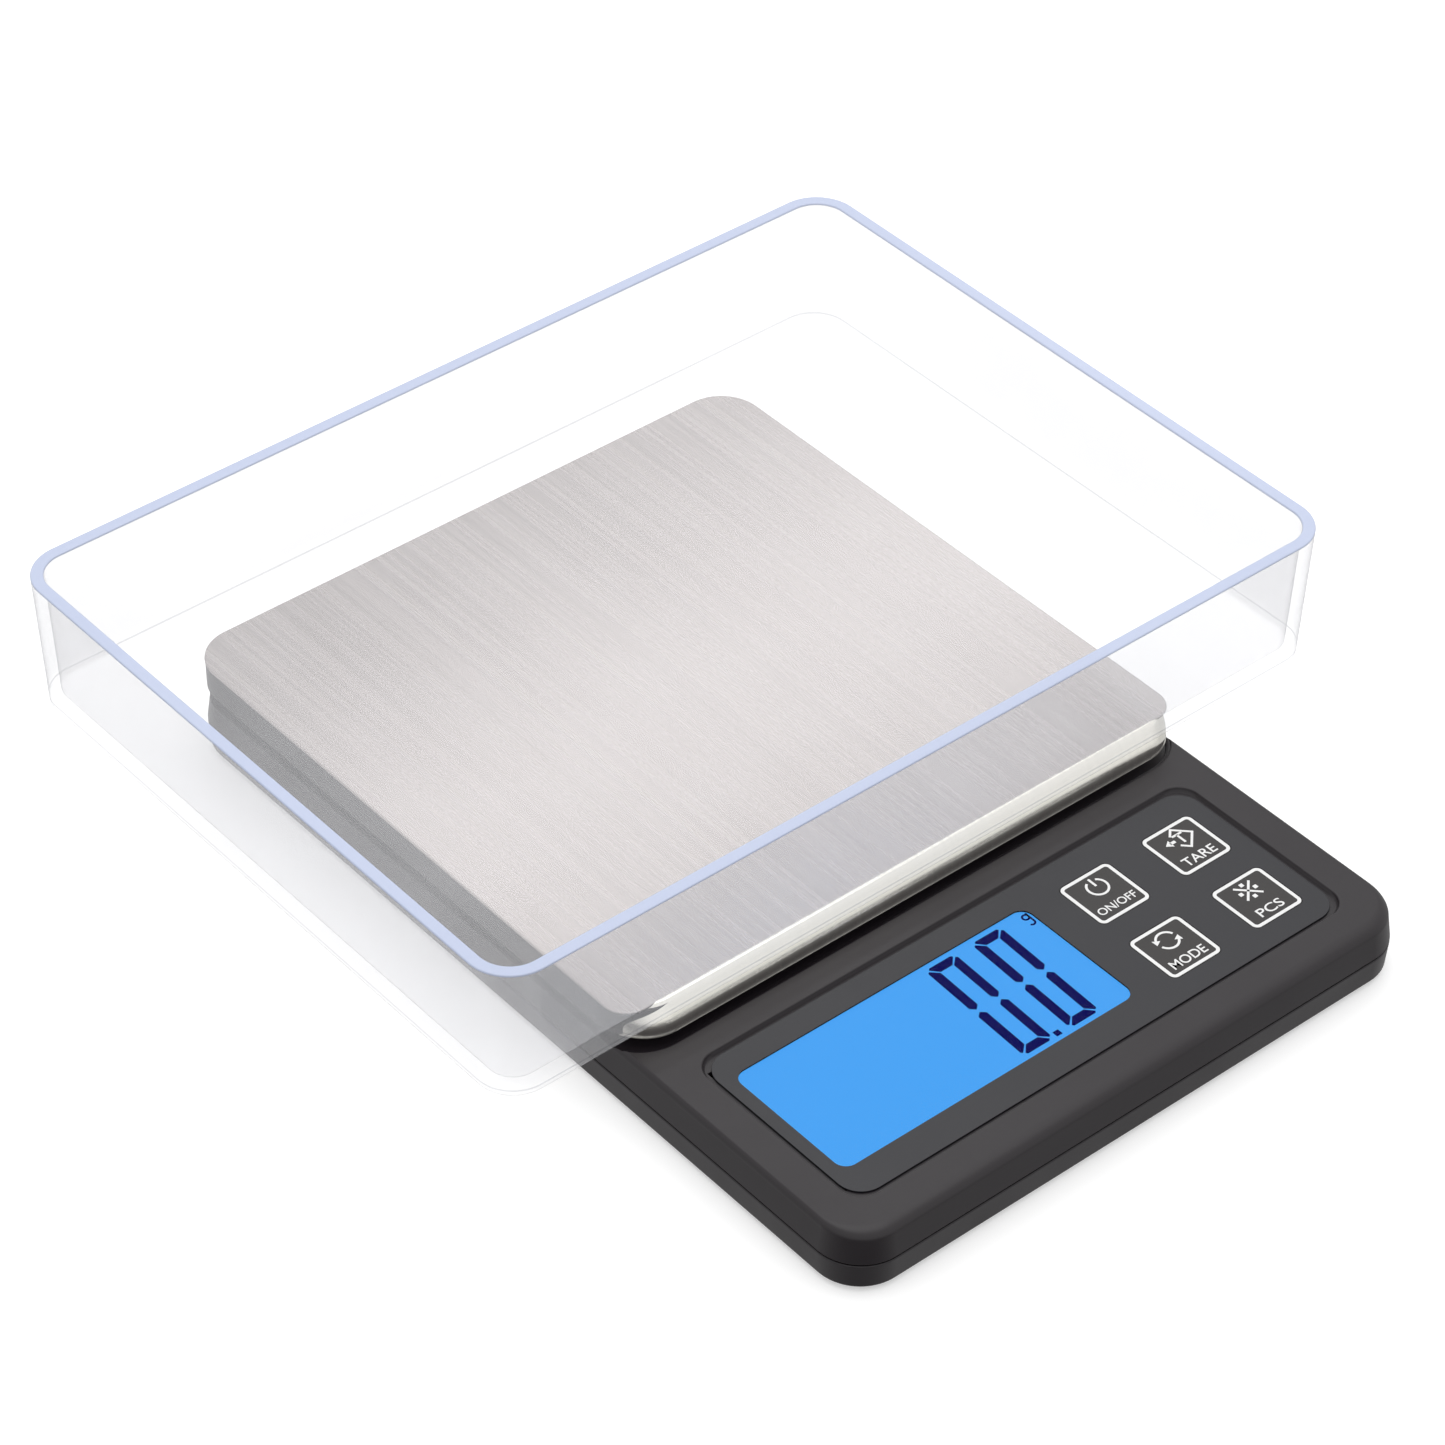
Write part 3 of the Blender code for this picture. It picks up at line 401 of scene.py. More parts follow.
def rgb(red, green, blue):
    """A colour from 8-bit display values."""
    return tuple(
        (v / 255 / 12.92) if v <= 10 else ((v / 255 + 0.055) / 1.055) ** 2.4 for v in (red, green, blue)
    )


def scaled(colour, factor):
    return tuple(min(1.0, c * factor) for c in colour)


def moulded_plastic(name, colour, roughness, grain=3800, depth=0.012, spread=0.10, specular=0.5):
    """Satin plastic with the fine even grain of a spark-eroded mould, and faint handling marks."""
    n = Nodes(name)
    fine = n.noise(grain, 3.0, 0.6)
    coarse = n.noise(grain * 0.37)
    marks = n.noise(38, 4.0, 0.62, distortion=0.4)
    tone = n.math("MULTIPLY_ADD", fine, 0.6, 0.5)
    return n.set(
        Base_Color=n.ramp(tone, (0.0, scaled(colour, 1 - spread)), (1.0, scaled(colour, 1 + spread))),
        Roughness=n.range(marks, *MOST, roughness - 0.05, roughness + 0.07),
        Normal=n.bump(coarse, 0.35, depth * MM, Normal=n.bump(fine, 0.6, depth * MM)),
        Specular_IOR_Level=specular,
    ).owner


def film(name, colour, roughness):
    """Fine matt printed film."""
    n = Nodes(name)
    fine = n.noise(5200)
    marks = n.noise(55, 3.0, 0.6)
    return n.set(
        Base_Color=n.ramp(fine, (0.25, scaled(colour, 0.92)), (0.75, scaled(colour, 1.08))),
        Roughness=n.range(marks, *MOST, roughness - 0.04, roughness + 0.05),
        Normal=n.bump(fine, 0.35, 0.006 * MM),
    ).owner


def brushed_steel(name, colour, roughness, anisotropic, contrast=1.0):
    """Steel brushed from front to back: fine scratches over wider bands."""
    n = Nodes(name)
    hair = n.noise(1.0, 1.0, 0.5, n.stretched((2100, 4, 40)))
    lines = n.noise(1.0, 1.0, 0.5, n.stretched((1150, 2, 40)))
    bands = n.noise(1.0, 2.0, 0.5, n.stretched((520, 1.6, 20)))
    fine = n.math("ADD", n.math("MULTIPLY", hair, 0.35), n.math("MULTIPLY", lines, 0.65))
    tone = n.math("ADD", n.math("MULTIPLY", fine, 0.88), n.math("MULTIPLY", bands, 0.12))
    dark, light = scaled(colour, 1 - 0.13 * contrast), scaled(colour, 1 + 0.11 * contrast)
    n.set(
        Base_Color=n.ramp(tone, (0.40, dark), (0.60, light)),
        Metallic=1.0,
        Roughness=n.range(fine, 0.35, 0.65, roughness - 0.03, roughness + 0.04),
        Anisotropic=anisotropic,
        Normal=n.bump(bands, 0.05, 0.001 * MM),
    )
    return n


def highlight_along_x(n):
    """Stretches the highlight from side to side, across the brushing."""
    along = n.add("VectorTransform", Vector=(1.0, 0.0, 0.0))
    along.vector_type, along.convert_from, along.convert_to = "VECTOR", "OBJECT", "WORLD"
    return n.set(Tangent=along.outputs["Vector"]).owner


def clear_plastic(name, painted_shade_line, floor_top, rim):
    """Clear plastic as two thin skins: each lets light through, mirrors a little, and is faintly hazy, with a
    painted glow in the haze.

    The corner round the foot is a painted shade line, a darker band of tint. Light gathered in the walls comes
    out at the rim, so the rim looks pale blue and solid. Each pair of heights says where a change starts and
    ends.
    """
    n = Nodes(name)
    height = n.add("SeparateXYZ", Vector=n.place).outputs["Z"]
    waves = n.noise(46)

    in_wall = n.range(height, floor_top, floor_top + 2.0 * MM, 0.0, 1.0)
    clear = n.mix(in_wall, (0.985, 0.985, 0.985), (0.962, 0.962, 0.968))
    # Painted shade: a darker band of tint round the corner at the foot.
    past_start, past_end = (n.range(height, z, z + 0.05 * MM, 0.0, 1.0) for z in painted_shade_line)
    tint = n.mix(n.math("SUBTRACT", past_start, past_end), clear, (0.78, 0.78, 0.80))
    through = n.add("BsdfTransparent", Color=tint).outputs[0]
    glossy = n.add(
        "BsdfAnisotropic", Color=(0.97, 0.97, 1.0, 1.0), Roughness=0.2, Normal=n.bump(waves, 0.12, 0.05 * MM)
    ).outputs[0]
    milky = n.add("BsdfDiffuse", Color=(0.90, 0.905, 0.93, 1.0)).outputs[0]
    # Painted light: the haze glows a little of its own.
    painted_glow = n.add("Emission", Strength=0.18).outputs[0]

    scuffs = n.range(n.noise(60, 3.0, 0.6), *MOST, 0.9, 1.1)
    haze = n.math("MULTIPLY", scuffs, n.range(in_wall, 0.0, 1.0, 0.085, 0.10))
    hazy = n.joined("MixShader", haze, through, n.joined("AddShader", milky, painted_glow))
    skin = n.joined("MixShader", n.mirror(0.035), hazy, glossy)

    fleck = n.noise(900)
    n.set(
        Base_Color=n.mix(fleck, (0.455, 0.508, 0.670), (0.475, 0.528, 0.690)),
        Roughness=0.22,
        Normal=n.bump(fleck, 0.1, 0.01 * MM),
    )
    at_rim = n.range(height, *rim, 0.0, 0.97)
    return n.finish_with(n.joined("MixShader", at_rim, skin, n.shader.outputs[0]))


def lit_display():
    """The backlit liquid crystal: even light blue, with the faintest grid of its rear polariser."""
    n = Nodes("lcd_lit")
    even = n.noise(25)
    grain = n.noise(4200, 1.0, 0.5)
    blue = n.mix(n.math("MULTIPLY_ADD", even, 0.6, 0.5), (0.045, 0.330, 0.845), (0.058, 0.350, 0.875))
    return n.set(
        Base_Color=(0.01, 0.02, 0.04, 1.0),
        Roughness=n.range(grain, *MOST, 0.50, 0.60),
        Specular_IOR_Level=0.0,
        Emission_Color=blue,
        Emission_Strength=1.0,
    ).owner


def ink(name, colour, roughness=0.5, specular=0.5):
    """Printed ink, slightly uneven."""
    n = Nodes(name)
    grain = n.noise(2600, 3.0, 0.6)
    return n.set(
        Base_Color=n.ramp(grain, (0.2, scaled(colour, 0.86)), (0.8, colour)),
        Roughness=n.range(grain, *MOST, roughness - 0.06, roughness + 0.06),
        Normal=n.bump(grain, 0.25, 0.008 * MM),
        Specular_IOR_Level=specular,
    ).owner


def window_film():
    """The clear part of the overlay, over the display."""
    n = Nodes("overlay_window")
    grain = n.noise(3000)
    through = n.add("BsdfTransparent").outputs[0]
    glossy = n.add("BsdfAnisotropic", Roughness=n.range(grain, *MOST, 0.10, 0.18)).outputs[0]
    return n.finish_with(n.joined("MixShader", n.mirror(0.004), through, glossy))


def plain_metal(name, colour, roughness, scale=1500):
    """Metal with a fine grain and dull patches."""
    n = Nodes(name)
    grain = n.noise(scale, 3.0, 0.6)
    cloud = n.noise(60, 3.0, 0.6)
    return n.set(
        Base_Color=n.ramp(cloud, (0.3, scaled(colour, 0.88)), (0.7, colour)),
        Metallic=1.0,
        Roughness=n.range(grain, *MOST, roughness - 0.06, roughness + 0.08),
        Normal=n.bump(grain, 0.25, 0.01 * MM),
    ).owner


def circuit_board():
    """Green solder mask with copper tracks under it."""
    n = Nodes("circuit_board")
    tracks = n.add(
        "TexBrick", Vector=n.place, Scale=260, Mortar_Size=0.06,
        Color1=(0.010, 0.110, 0.045, 1.0), Color2=(0.012, 0.125, 0.050, 1.0),
        Mortar=(0.030, 0.200, 0.070, 1.0),
    )
    weave = n.noise(2200)
    return n.set(
        Base_Color=n.mix(n.math("MULTIPLY", weave, 0.3), tracks.outputs["Color"], (0.02, 0.16, 0.06)),
        Roughness=n.range(weave, *MOST, 0.28, 0.42),
        Normal=n.bump(tracks.outputs["Fac"], 0.3, 0.03 * MM),
    ).owner


def striped_sleeve(name, ends, colour, band):
    """A cell's printed sleeve: one colour with a contrasting band towards the positive end."""
    n = Nodes(name)
    share = n.range(n.add("SeparateXYZ", Vector=n.place).outputs["X"], *ends, 0.0, 1.0)
    edge = n.ramp(share, (0.70, 0.0), (0.705, 1.0))
    grain = n.noise(1500)
    return n.set(
        Base_Color=n.mix(edge, colour, band),
        Roughness=n.range(grain, *MOST, 0.22, 0.32),
        Normal=n.bump(grain, 0.15, 0.01 * MM),
    ).owner


ABS = moulded_plastic("black_abs", (0.0135, 0.0105, 0.0130), 0.40, specular=0.45)
FILM = film("overlay_film", (0.0085, 0.0085, 0.0125), 0.36)
KEY_FILM = film("key_film", (0.0180, 0.0155, 0.0150), 0.38)
STEEL = highlight_along_x(brushed_steel("brushed_steel", (0.354, 0.323, 0.314), 0.25, 0.86, 0.85))
# The rolled front edge: smoother than the top, and a much brighter, cream copy of the same steel, painted lit.
EDGE_STEEL = brushed_steel("polished_edge_steel_painted_lit", (0.92, 0.90, 0.83), 0.18, 0.2, 0.2).owner
WHITE_INK = ink("white_ink", rgb(232, 232, 232))
NAVY = ink("lcd_segments", rgb(2, 2, 80), 0.6, specular=0.0)
LCD_LIT = lit_display()
WINDOW_FILM = window_film()
ZINC = plain_metal("zinc_plated_steel", (0.60, 0.61, 0.62), 0.30)
NICKEL = plain_metal("nickel_plated_steel", (0.70, 0.67, 0.60), 0.24)
ALUMINIUM = plain_metal("aluminium", (0.72, 0.73, 0.74), 0.36, 900)
EPOXY = moulded_plastic("black_epoxy", rgb(22, 22, 22), 0.22, grain=900)
RUBBER = moulded_plastic("foot_rubber", rgb(34, 34, 35), 0.82, grain=1800, depth=0.03, specular=0.3)
STEM = moulded_plastic("stem_plastic", rgb(30, 30, 31), 0.5)

SLOT_MATERIALS = {
    "black_abs": ABS, "overlay_film": FILM, "key_film": KEY_FILM, "stainless": STEEL, "aluminium": ALUMINIUM,
    "zinc_steel": ZINC, "nickel_steel": NICKEL, "lcd_glass": LCD_LIT, "foot_rubber": RUBBER,
    "stem_plastic": STEM, "cell_sleeve": STEM, "epoxy": EPOXY, "circuit_board": circuit_board(),
    "grey_plastic": moulded_plastic("grey_plastic", rgb(92, 92, 94), 0.5),
    "light_guide": moulded_plastic("light_guide", rgb(220, 226, 236), 0.3, spread=0.03),
    "silicone": moulded_plastic("silicone", rgb(214, 214, 210), 0.6, spread=0.04),
    "red_wire": moulded_plastic("red_wire", rgb(176, 22, 16), 0.42, spread=0.06),
    "black_wire": moulded_plastic("black_wire", rgb(28, 28, 28), 0.42),
    "grey_wire": moulded_plastic("grey_wire", rgb(150, 150, 152), 0.5, spread=0.05),
}


def dress_cad_nodes():
    """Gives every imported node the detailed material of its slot."""
    for entry in frame["record"]["materials"]:
        material = SLOT_MATERIALS.get(entry["slot"])
        for name in entry.get("nodes", []):
            if material and name in frame["nodes"]:
                mesh = frame["nodes"][name].data
                mesh.materials.clear()
                mesh.materials.append(material)


def stands_for(obj, body, slot, *nodes):
    """obj rides on the body and is shown in place of the nodes. The slot is not used."""
    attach(obj, body)
    if nodes:
        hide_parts(*nodes)
    return obj


# ---- housing
UPPER_LOW, UPPER_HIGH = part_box("upper_housing")
LOWER_LOW, LOWER_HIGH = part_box("lower_housing")
PLATE_LOW, PLATE_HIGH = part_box("platform_plate")
LABEL_LOW, LABEL_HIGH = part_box("panel_overlay")
LCD_LOW, LCD_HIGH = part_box("lcd_glass")
TRAY_LOW, TRAY_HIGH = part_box("weighing_tray")

SHELL_CORNER = 8.6 * MM
UPPER = (UPPER_LOW.x, UPPER_HIGH.x, UPPER_LOW.y, UPPER_HIGH.y, SHELL_CORNER)
LOWER = (LOWER_LOW.x, LOWER_HIGH.x, LOWER_LOW.y, LOWER_HIGH.y, SHELL_CORNER)
WELL_MARGIN = 0.9 * MM  # round the platform
PLATE_CORNER = 8.0 * MM
PLATE = (PLATE_LOW.x, PLATE_HIGH.x, PLATE_LOW.y, PLATE_HIGH.y, PLATE_CORNER)
LABEL = (LABEL_LOW.x, LABEL_HIGH.x, LABEL_LOW.y, LABEL_HIGH.y, 4.5 * MM)
DECK_TOP = UPPER_HIGH.z - 1.2 * MM
RECESS_FLOOR = LABEL_LOW.z - 0.06 * MM
WALL = 1.9 * MM
SEAM_ROUND = 0.22 * MM
SEAM_LOW = UPPER_HIGH.z - 6.3 * MM
SEAM_HIGH = SEAM_LOW + 0.3 * MM
OVERSHOOT = 4 * MM  # by which a cutter passes the surface that it opens
DOOR_LIP = 1.6 * MM  # on each side of the battery cover, in a slot of the shell
FOOT_RISE = 0.5 * MM  # rounding of the bottom edge


def make_upper_shell():
    bottom, top = SEAM_HIGH, UPPER_HIGH.z
    draft, rise, side_reach, front_reach = 0.6 * MM, 1.6 * MM, 0.8 * MM, 2.6 * MM
    levels = quarter(bottom + SEAM_ROUND, UPPER, -SEAM_ROUND, SEAM_ROUND, LIP_STEPS)[::-1]
    levels += quarter(top - rise, inset(UPPER, draft), rise, side_reach, front=front_reach)
    shell = loft("upper_shell", levels, ABS)

    inner = inset(UPPER, WALL)
    ceiling = DECK_TOP - 1.5 * MM
    hollow = loft("hollow", [(bottom - MM, inner), (ceiling, inset(inner, 0.3 * MM))], steps=6)

    well = (
        PLATE_LOW.x - WELL_MARGIN, PLATE_HIGH.x + WELL_MARGIN, PLATE_LOW.y - WELL_MARGIN,
        UPPER_HIGH.y + 12 * MM, PLATE_CORNER + WELL_MARGIN,
    )
    lip = 0.45 * MM
    scoop = top - DECK_TOP - lip
    dish = []
    for angle in quarter_angles(FILLET_STEPS):
        dish.append((DECK_TOP + scoop * math.sin(angle), inset(well, scoop * math.cos(angle))))
    dish += opened_lip(top, well, lip)

    recess = inset(LABEL, -0.9 * MM)[:4] + (4.0 * MM,)
    lip, draft = 0.28 * MM, 0.06 * MM
    pocket = [
        (RECESS_FLOOR, inset(recess, 0.45 * MM)), (RECESS_FLOOR + 0.12 * MM, inset(recess, 0.30 * MM)),
        (top - lip, inset(recess, draft)), *opened_lip(top, recess, lip, draft),
    ]

    gap = 0.4 * MM
    cutters = [hollow, loft("dish", dish), loft("pocket", pocket)]
    for name, (low, high), margin, end in (
        ("display", (LCD_LOW, LCD_HIGH), gap, top),
        *((key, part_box(f"{key}_key"), gap, top) for key in KEYS),
        ("beam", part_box("load_cell"), 2.5 * MM, top + MM),
        ("bay", battery_bay(), 1.6 * MM, top + MM),
    ):
        low, high = (low.x - margin, low.y - margin, bottom), (high.x + margin, high.y + margin, end)
        cutters.append(block(name, low, high))
    combined(shell, *cutters)
    stands_for(shaded(shell), "housing", "black_abs", "upper_housing")


def opened_lip(top, rectangle, lip, draft=0.0):
    """Levels of a cutter that rounds the edge of the opening it makes."""
    levels = []
    for angle in quarter_angles(LIP_STEPS, first=1):
        rounded = inset(rectangle, draft - lip * (1 - math.cos(angle)))
        levels.append((top - lip + lip * math.sin(angle), rounded))
    return levels + [(top + OVERSHOOT, levels[-1][1])]


def battery_bay():
    """The inside of the battery bay."""
    cells = [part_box("aaa_cell_1"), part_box("aaa_cell_2")]
    x_low, x_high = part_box("cell_link_plate")[0].x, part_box("positive_contact")[1].x
    return (
        Vector((x_low - 0.3 * MM, cells[0][0].y - 0.75 * MM, 0.0)),
        Vector((x_high + 0.3 * MM, cells[1][1].y + 0.75 * MM, LOWER_HIGH.z - MM)),
    )


def make_lower_shell():
    bottom, top = LOWER_LOW.z, SEAM_LOW
    levels = quarter(bottom + FOOT_RISE, inset(LOWER, 0.3 * MM), -FOOT_RISE, FOOT_RISE)[::-1]
    levels += quarter(top - SEAM_ROUND, LOWER, SEAM_ROUND, SEAM_ROUND, LIP_STEPS)
    shell = loft("lower_shell", levels, ABS)
    floor = bottom + 1.5 * MM
    inner = inset(LOWER, WALL)
    combined(shell, loft("hollow", [(floor, inset(inner, 0.6 * MM)), (top + MM, inner)], steps=6))

    bay_low, bay_high = battery_bay()
    wall, root = 1.2 * MM, floor - 0.5 * MM
    low = (bay_low.x - wall, bay_low.y - wall, root)
    high = (bay_high.x + wall, bay_high.y + wall, LOWER_HIGH.z)
    added = [block("bay", low, high, edge=0.3 * MM)]
    screws = [middle_of(*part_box(f"housing_screw_{i}")) for i in CORNERS]
    feet = [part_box(f"rubber_foot_{i}") for i in CORNERS]
    for i, screw, foot in zip(CORNERS, screws, feet):
        added.append(disc(f"seat_{i}", screw, 3.3 * MM, root, floor + 0.6 * MM, 32))
        added.append(disc(f"pad_{i}", middle_of(*foot), 6.3 * MM, root, floor + 0.5 * MM, 32))
    combined(shell, *added, operation="UNION")

    door_low, door_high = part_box("battery_door")
    gap = 0.25 * MM
    slot_top = door_high.z + 0.35 * MM
    front, back = door_low.y - MM, LOWER[3] - MM
    rails = []
    for side, sign in (("left", -1), ("right", 1)):
        for name, inner_x, low, high in (
            ("rail", bay_high.x + 0.5 * MM, slot_top, slot_top + 0.95 * MM),
            ("web", door_high.x + gap, floor - 0.4 * MM, slot_top + 0.4 * MM),
        ):
            x_low, x_high = sorted((sign * inner_x, sign * (door_high.x + 1.7 * MM)))
            rails.append(block(f"{name}_{side}", (x_low, front, low), (x_high, back, high)))
    combined(shell, *rails, operation="UNION")

    front, back, narrow = door_low.y - gap, LOWER[3] + 5 * MM, DOOR_LIP - gap
    lip_low = door_low.z + 0.6 * MM
    cutters = [
        block("bay_hollow", bay_low, bay_high),
        block("door_slot", (door_low.x + narrow, front, 0.0), (door_high.x - narrow, back, slot_top)),
        block("lip_slot", (door_low.x - gap, front, lip_low), (door_high.x + gap, back, slot_top)),
    ]
    bevel = 0.2 * MM
    for i, screw, (low, high) in zip(CORNERS, screws, feet):
        cutters.append(counterbore(f"bore_{i}", screw, 2.4 * MM, 2.6 * MM, 1.45 * MM))
        radius, end = (high.x - low.x) / 2 + 0.25 * MM, high.z + 0.25 * MM
        profile = [
            (0, 0), (radius + bevel, 0), (radius + bevel, bottom), (radius, bottom + bevel),
            (radius, end), (0, end),
        ]
        cutters.append(turned(f"pocket_{i}", profile, (*middle_of(low, high), 0)))
    for i in (1, 2):
        place = middle_of(*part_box(f"load_cell_fixed_screw_{i}"))
        cutters.append(counterbore(f"fixed_bore_{i}", place, 2.65 * MM, 3.0 * MM, 1.6 * MM))
    combined(shell, *cutters)
    stands_for(shaded(shell), "housing", "black_abs", "lower_housing")


def counterbore(name, place, depth, wide, narrow):
    """A stepped hole seen from below, with a small lead-in."""
    bottom, bevel, end = LOWER_LOW.z, 0.2 * MM, 6 * MM
    profile = [
        (0, 0), (wide + bevel, 0), (wide + bevel, bottom), (wide, bottom + bevel),
        (wide, depth), (narrow, depth), (narrow, end), (0, end),
    ]
    return turned(name, profile, (*place, 0), sides=48)


def make_battery_cover():
    low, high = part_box("battery_door")
    back, upright = LOWER[3] + OVERSHOOT, 0.3 * MM
    cover_low, cover_high = (low.x + DOOR_LIP, low.y, 0.0), (high.x - DOOR_LIP, back, high.z)
    cover = block("battery_cover", cover_low, cover_high, ABS, upright=upright)
    wings = block("wings", (low.x, low.y, low.z + 0.9 * MM), (high.x, back, high.z), upright=upright)
    combined(cover, wings, operation="UNION")
    form = quarter(low.z + FOOT_RISE, inset(LOWER, 0.32 * MM), -FOOT_RISE, FOOT_RISE)[::-1]
    form.append((SEAM_LOW, inset(LOWER, 0.02 * MM)))
    combined(cover, loft("form", form), operation="INTERSECT")

    half, wide, pitch, bevel = 9 * MM, 1.1 * MM, 2.2 * MM, 0.2 * MM
    grips = []
    for i in range(5):
        y = high.y - 8 * MM - i * pitch
        mouth = (-half - 0.3 * MM, half + 0.3 * MM, y - bevel, y + wide + bevel, 0.5 * MM)
        foot = (-half, half, y + 0.1 * MM, y + wide - 0.1 * MM, 0.4 * MM)
        levels = [(low.z - MM, mouth), (low.z, mouth), (low.z + 0.5 * MM, foot)]
        grips.append(loft(f"grip_{i}", levels, steps=6))
    combined(cover, *grips)
    stands_for(shaded(cover), "battery_cover", "black_abs", "battery_door")


# ---- front panel
KEY_CORNER = 1.15 * MM
KEY_GROWTH = 0.15 * MM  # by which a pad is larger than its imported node, on each side
KEY_GAP = 0.05 * MM
FILM_EDGE = 0.08 * MM
PRINT_LOW, PRINT_HIGH = -0.05 * MM, 0.025 * MM  # heights of the print, from the top of the pad
WINDOW = (
    LCD_LOW.x + 2.0 * MM, LCD_HIGH.x - 2.0 * MM, LCD_LOW.y + 2.75 * MM, LCD_HIGH.y - 2.75 * MM, 2.3 * MM
)


def key_pad(key, grow=0.0):
    low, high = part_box(f"{key}_key")
    return (low.x - grow, high.x + grow, low.y - grow, high.y + grow, KEY_CORNER + grow)


def film_levels(rectangle, low, high):
    return [(low, rectangle)] + quarter(high - FILM_EDGE, rectangle, FILM_EDGE, FILM_EDGE, LIP_STEPS)


def make_overlay():
    low, high = LABEL_LOW.z, LABEL_HIGH.z
    overlay = loft("panel_overlay_film", film_levels(LABEL, low, high), FILM)
    holes = {key: key_pad(key, KEY_GROWTH + KEY_GAP) for key in KEYS}
    holes["window"] = WINDOW
    combined(overlay, *(loft(name, [(low - MM, hole), (high + MM, hole)]) for name, hole in holes.items()))
    stands_for(shaded(overlay), "housing", "overlay_film", "panel_overlay")

    pane = inset(WINDOW, 0.005 * MM)
    clear = loft("overlay_window", [(low, pane), (high, pane)], WINDOW_FILM)
    stands_for(shaded(clear), "housing", "overlay_film")


def power_sign(marks, x, y, line):
    """A ring open at the top, with a bar in the opening."""
    x, y = x + 0.2 * MM, y + 1.9 * MM
    marks.line(arc((x, y), 1.85 * MM, 120, 420, 40), line)
    marks.line([(x, y + 0.3 * MM), (x, y + 2.3 * MM)], line)


def mode_sign(marks, x, y, line):
    """Two arrows that chase each other round a ring."""
    centre, radius, sweep = (x + 0.1 * MM, y + 1.9 * MM), 1.9 * MM, 130
    for start in (20, 200):
        marks.line(arc(centre, radius, start, start + sweep, 20), line)
        angle = math.radians(start + sweep)
        out = Vector((math.cos(angle), math.sin(angle)))
        along = Vector((-out.y, out.x))
        base, size = Vector(centre) + out * radius, 0.95 * MM
        side = out * size * 0.75
        marks.area([tuple(base + side), tuple(base + along * size * 1.15), tuple(base - side)])


def tare_sign(marks, x, y, line):
    """A five-sided frame round a T, open on the left, where an arrow leaves."""
    x, y = x + 0.6 * MM, y + 1.9 * MM
    half, bar, stem = 2.55 * MM, 1.05 * MM, 1.15 * MM
    corners = [(x - 0.5 * half, y - 0.5 * half), (x, y - half), (x + half, y), (x, y + half)]
    marks.line(corners + [(x - 0.5 * half, y + 0.5 * half)], line)
    marks.line([(x - bar, y + bar), (x + bar, y + bar)], line)
    marks.line([(x, y + bar), (x, y - stem)], line)
    tip, head, wide = x - 3.4 * MM, 1.2 * MM, 0.85 * MM
    marks.area([(tip, y), (tip + head, y - wide), (tip + head, y + wide)])
    marks.line([(tip + MM, y), (tip + 2.1 * MM, y)], 0.6 * MM)


def count_sign(marks, x, y, line):
    """A slanting cross with a small square in each quarter."""
    x, y = x + 0.1 * MM, y + 2.1 * MM
    reach, away, half = 1.75 * MM, 1.6 * MM, 0.38 * MM
    for sign in (-1, 1):
        marks.line([(x - reach, y - sign * reach), (x + reach, y + sign * reach)], line)
        for px, py in ((x + sign * away, y), (x, y + sign * away)):
            marks.area(outline((px - half, px + half, py - half, py + half, 0.1 * MM), 3))


KEY_PRINTS = {  # sign, word, its width and capital height, and from the middle of the key down to its baseline
    "power": (power_sign, "ON/OFF", 8.1 * MM, 1.65 * MM, 3.75 * MM),
    "tare": (tare_sign, "TARE", 6.9 * MM, 1.95 * MM, 4.0 * MM),
    "mode": (mode_sign, "MODE", 7.4 * MM, 1.95 * MM, 4.0 * MM),
    "count": (count_sign, "PCS", 5.3 * MM, 1.95 * MM, 4.0 * MM),
}


def make_keys():
    frame_line, sign_line = 0.62 * MM, 0.42 * MM
    for key, (sign, word, width, height, drop) in KEY_PRINTS.items():
        low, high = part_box(f"{key}_key")
        x, y = middle_of(low, high)
        pad = loft(f"{key}_pad", film_levels(key_pad(key, KEY_GROWTH), low.z, high.z), KEY_FILM)
        stands_for(shaded(pad), f"{key}_button", "key_film", f"{key}_key")
        heights = (high.z + PRINT_LOW, high.z + PRINT_HIGH)
        marks = Print(*heights)
        marks.line(outline(inset(key_pad(key), frame_line / 2), 10), frame_line, closed=True)
        sign(marks, x, y, sign_line)
        stands_for(marks.piece(f"{key}_marks", WHITE_INK), f"{key}_button", "key_film")
        lettering = words(f"{key}_word", word, x, y - drop, width, height, *heights, WHITE_INK)
        stands_for(lettering, f"{key}_button", "key_film")


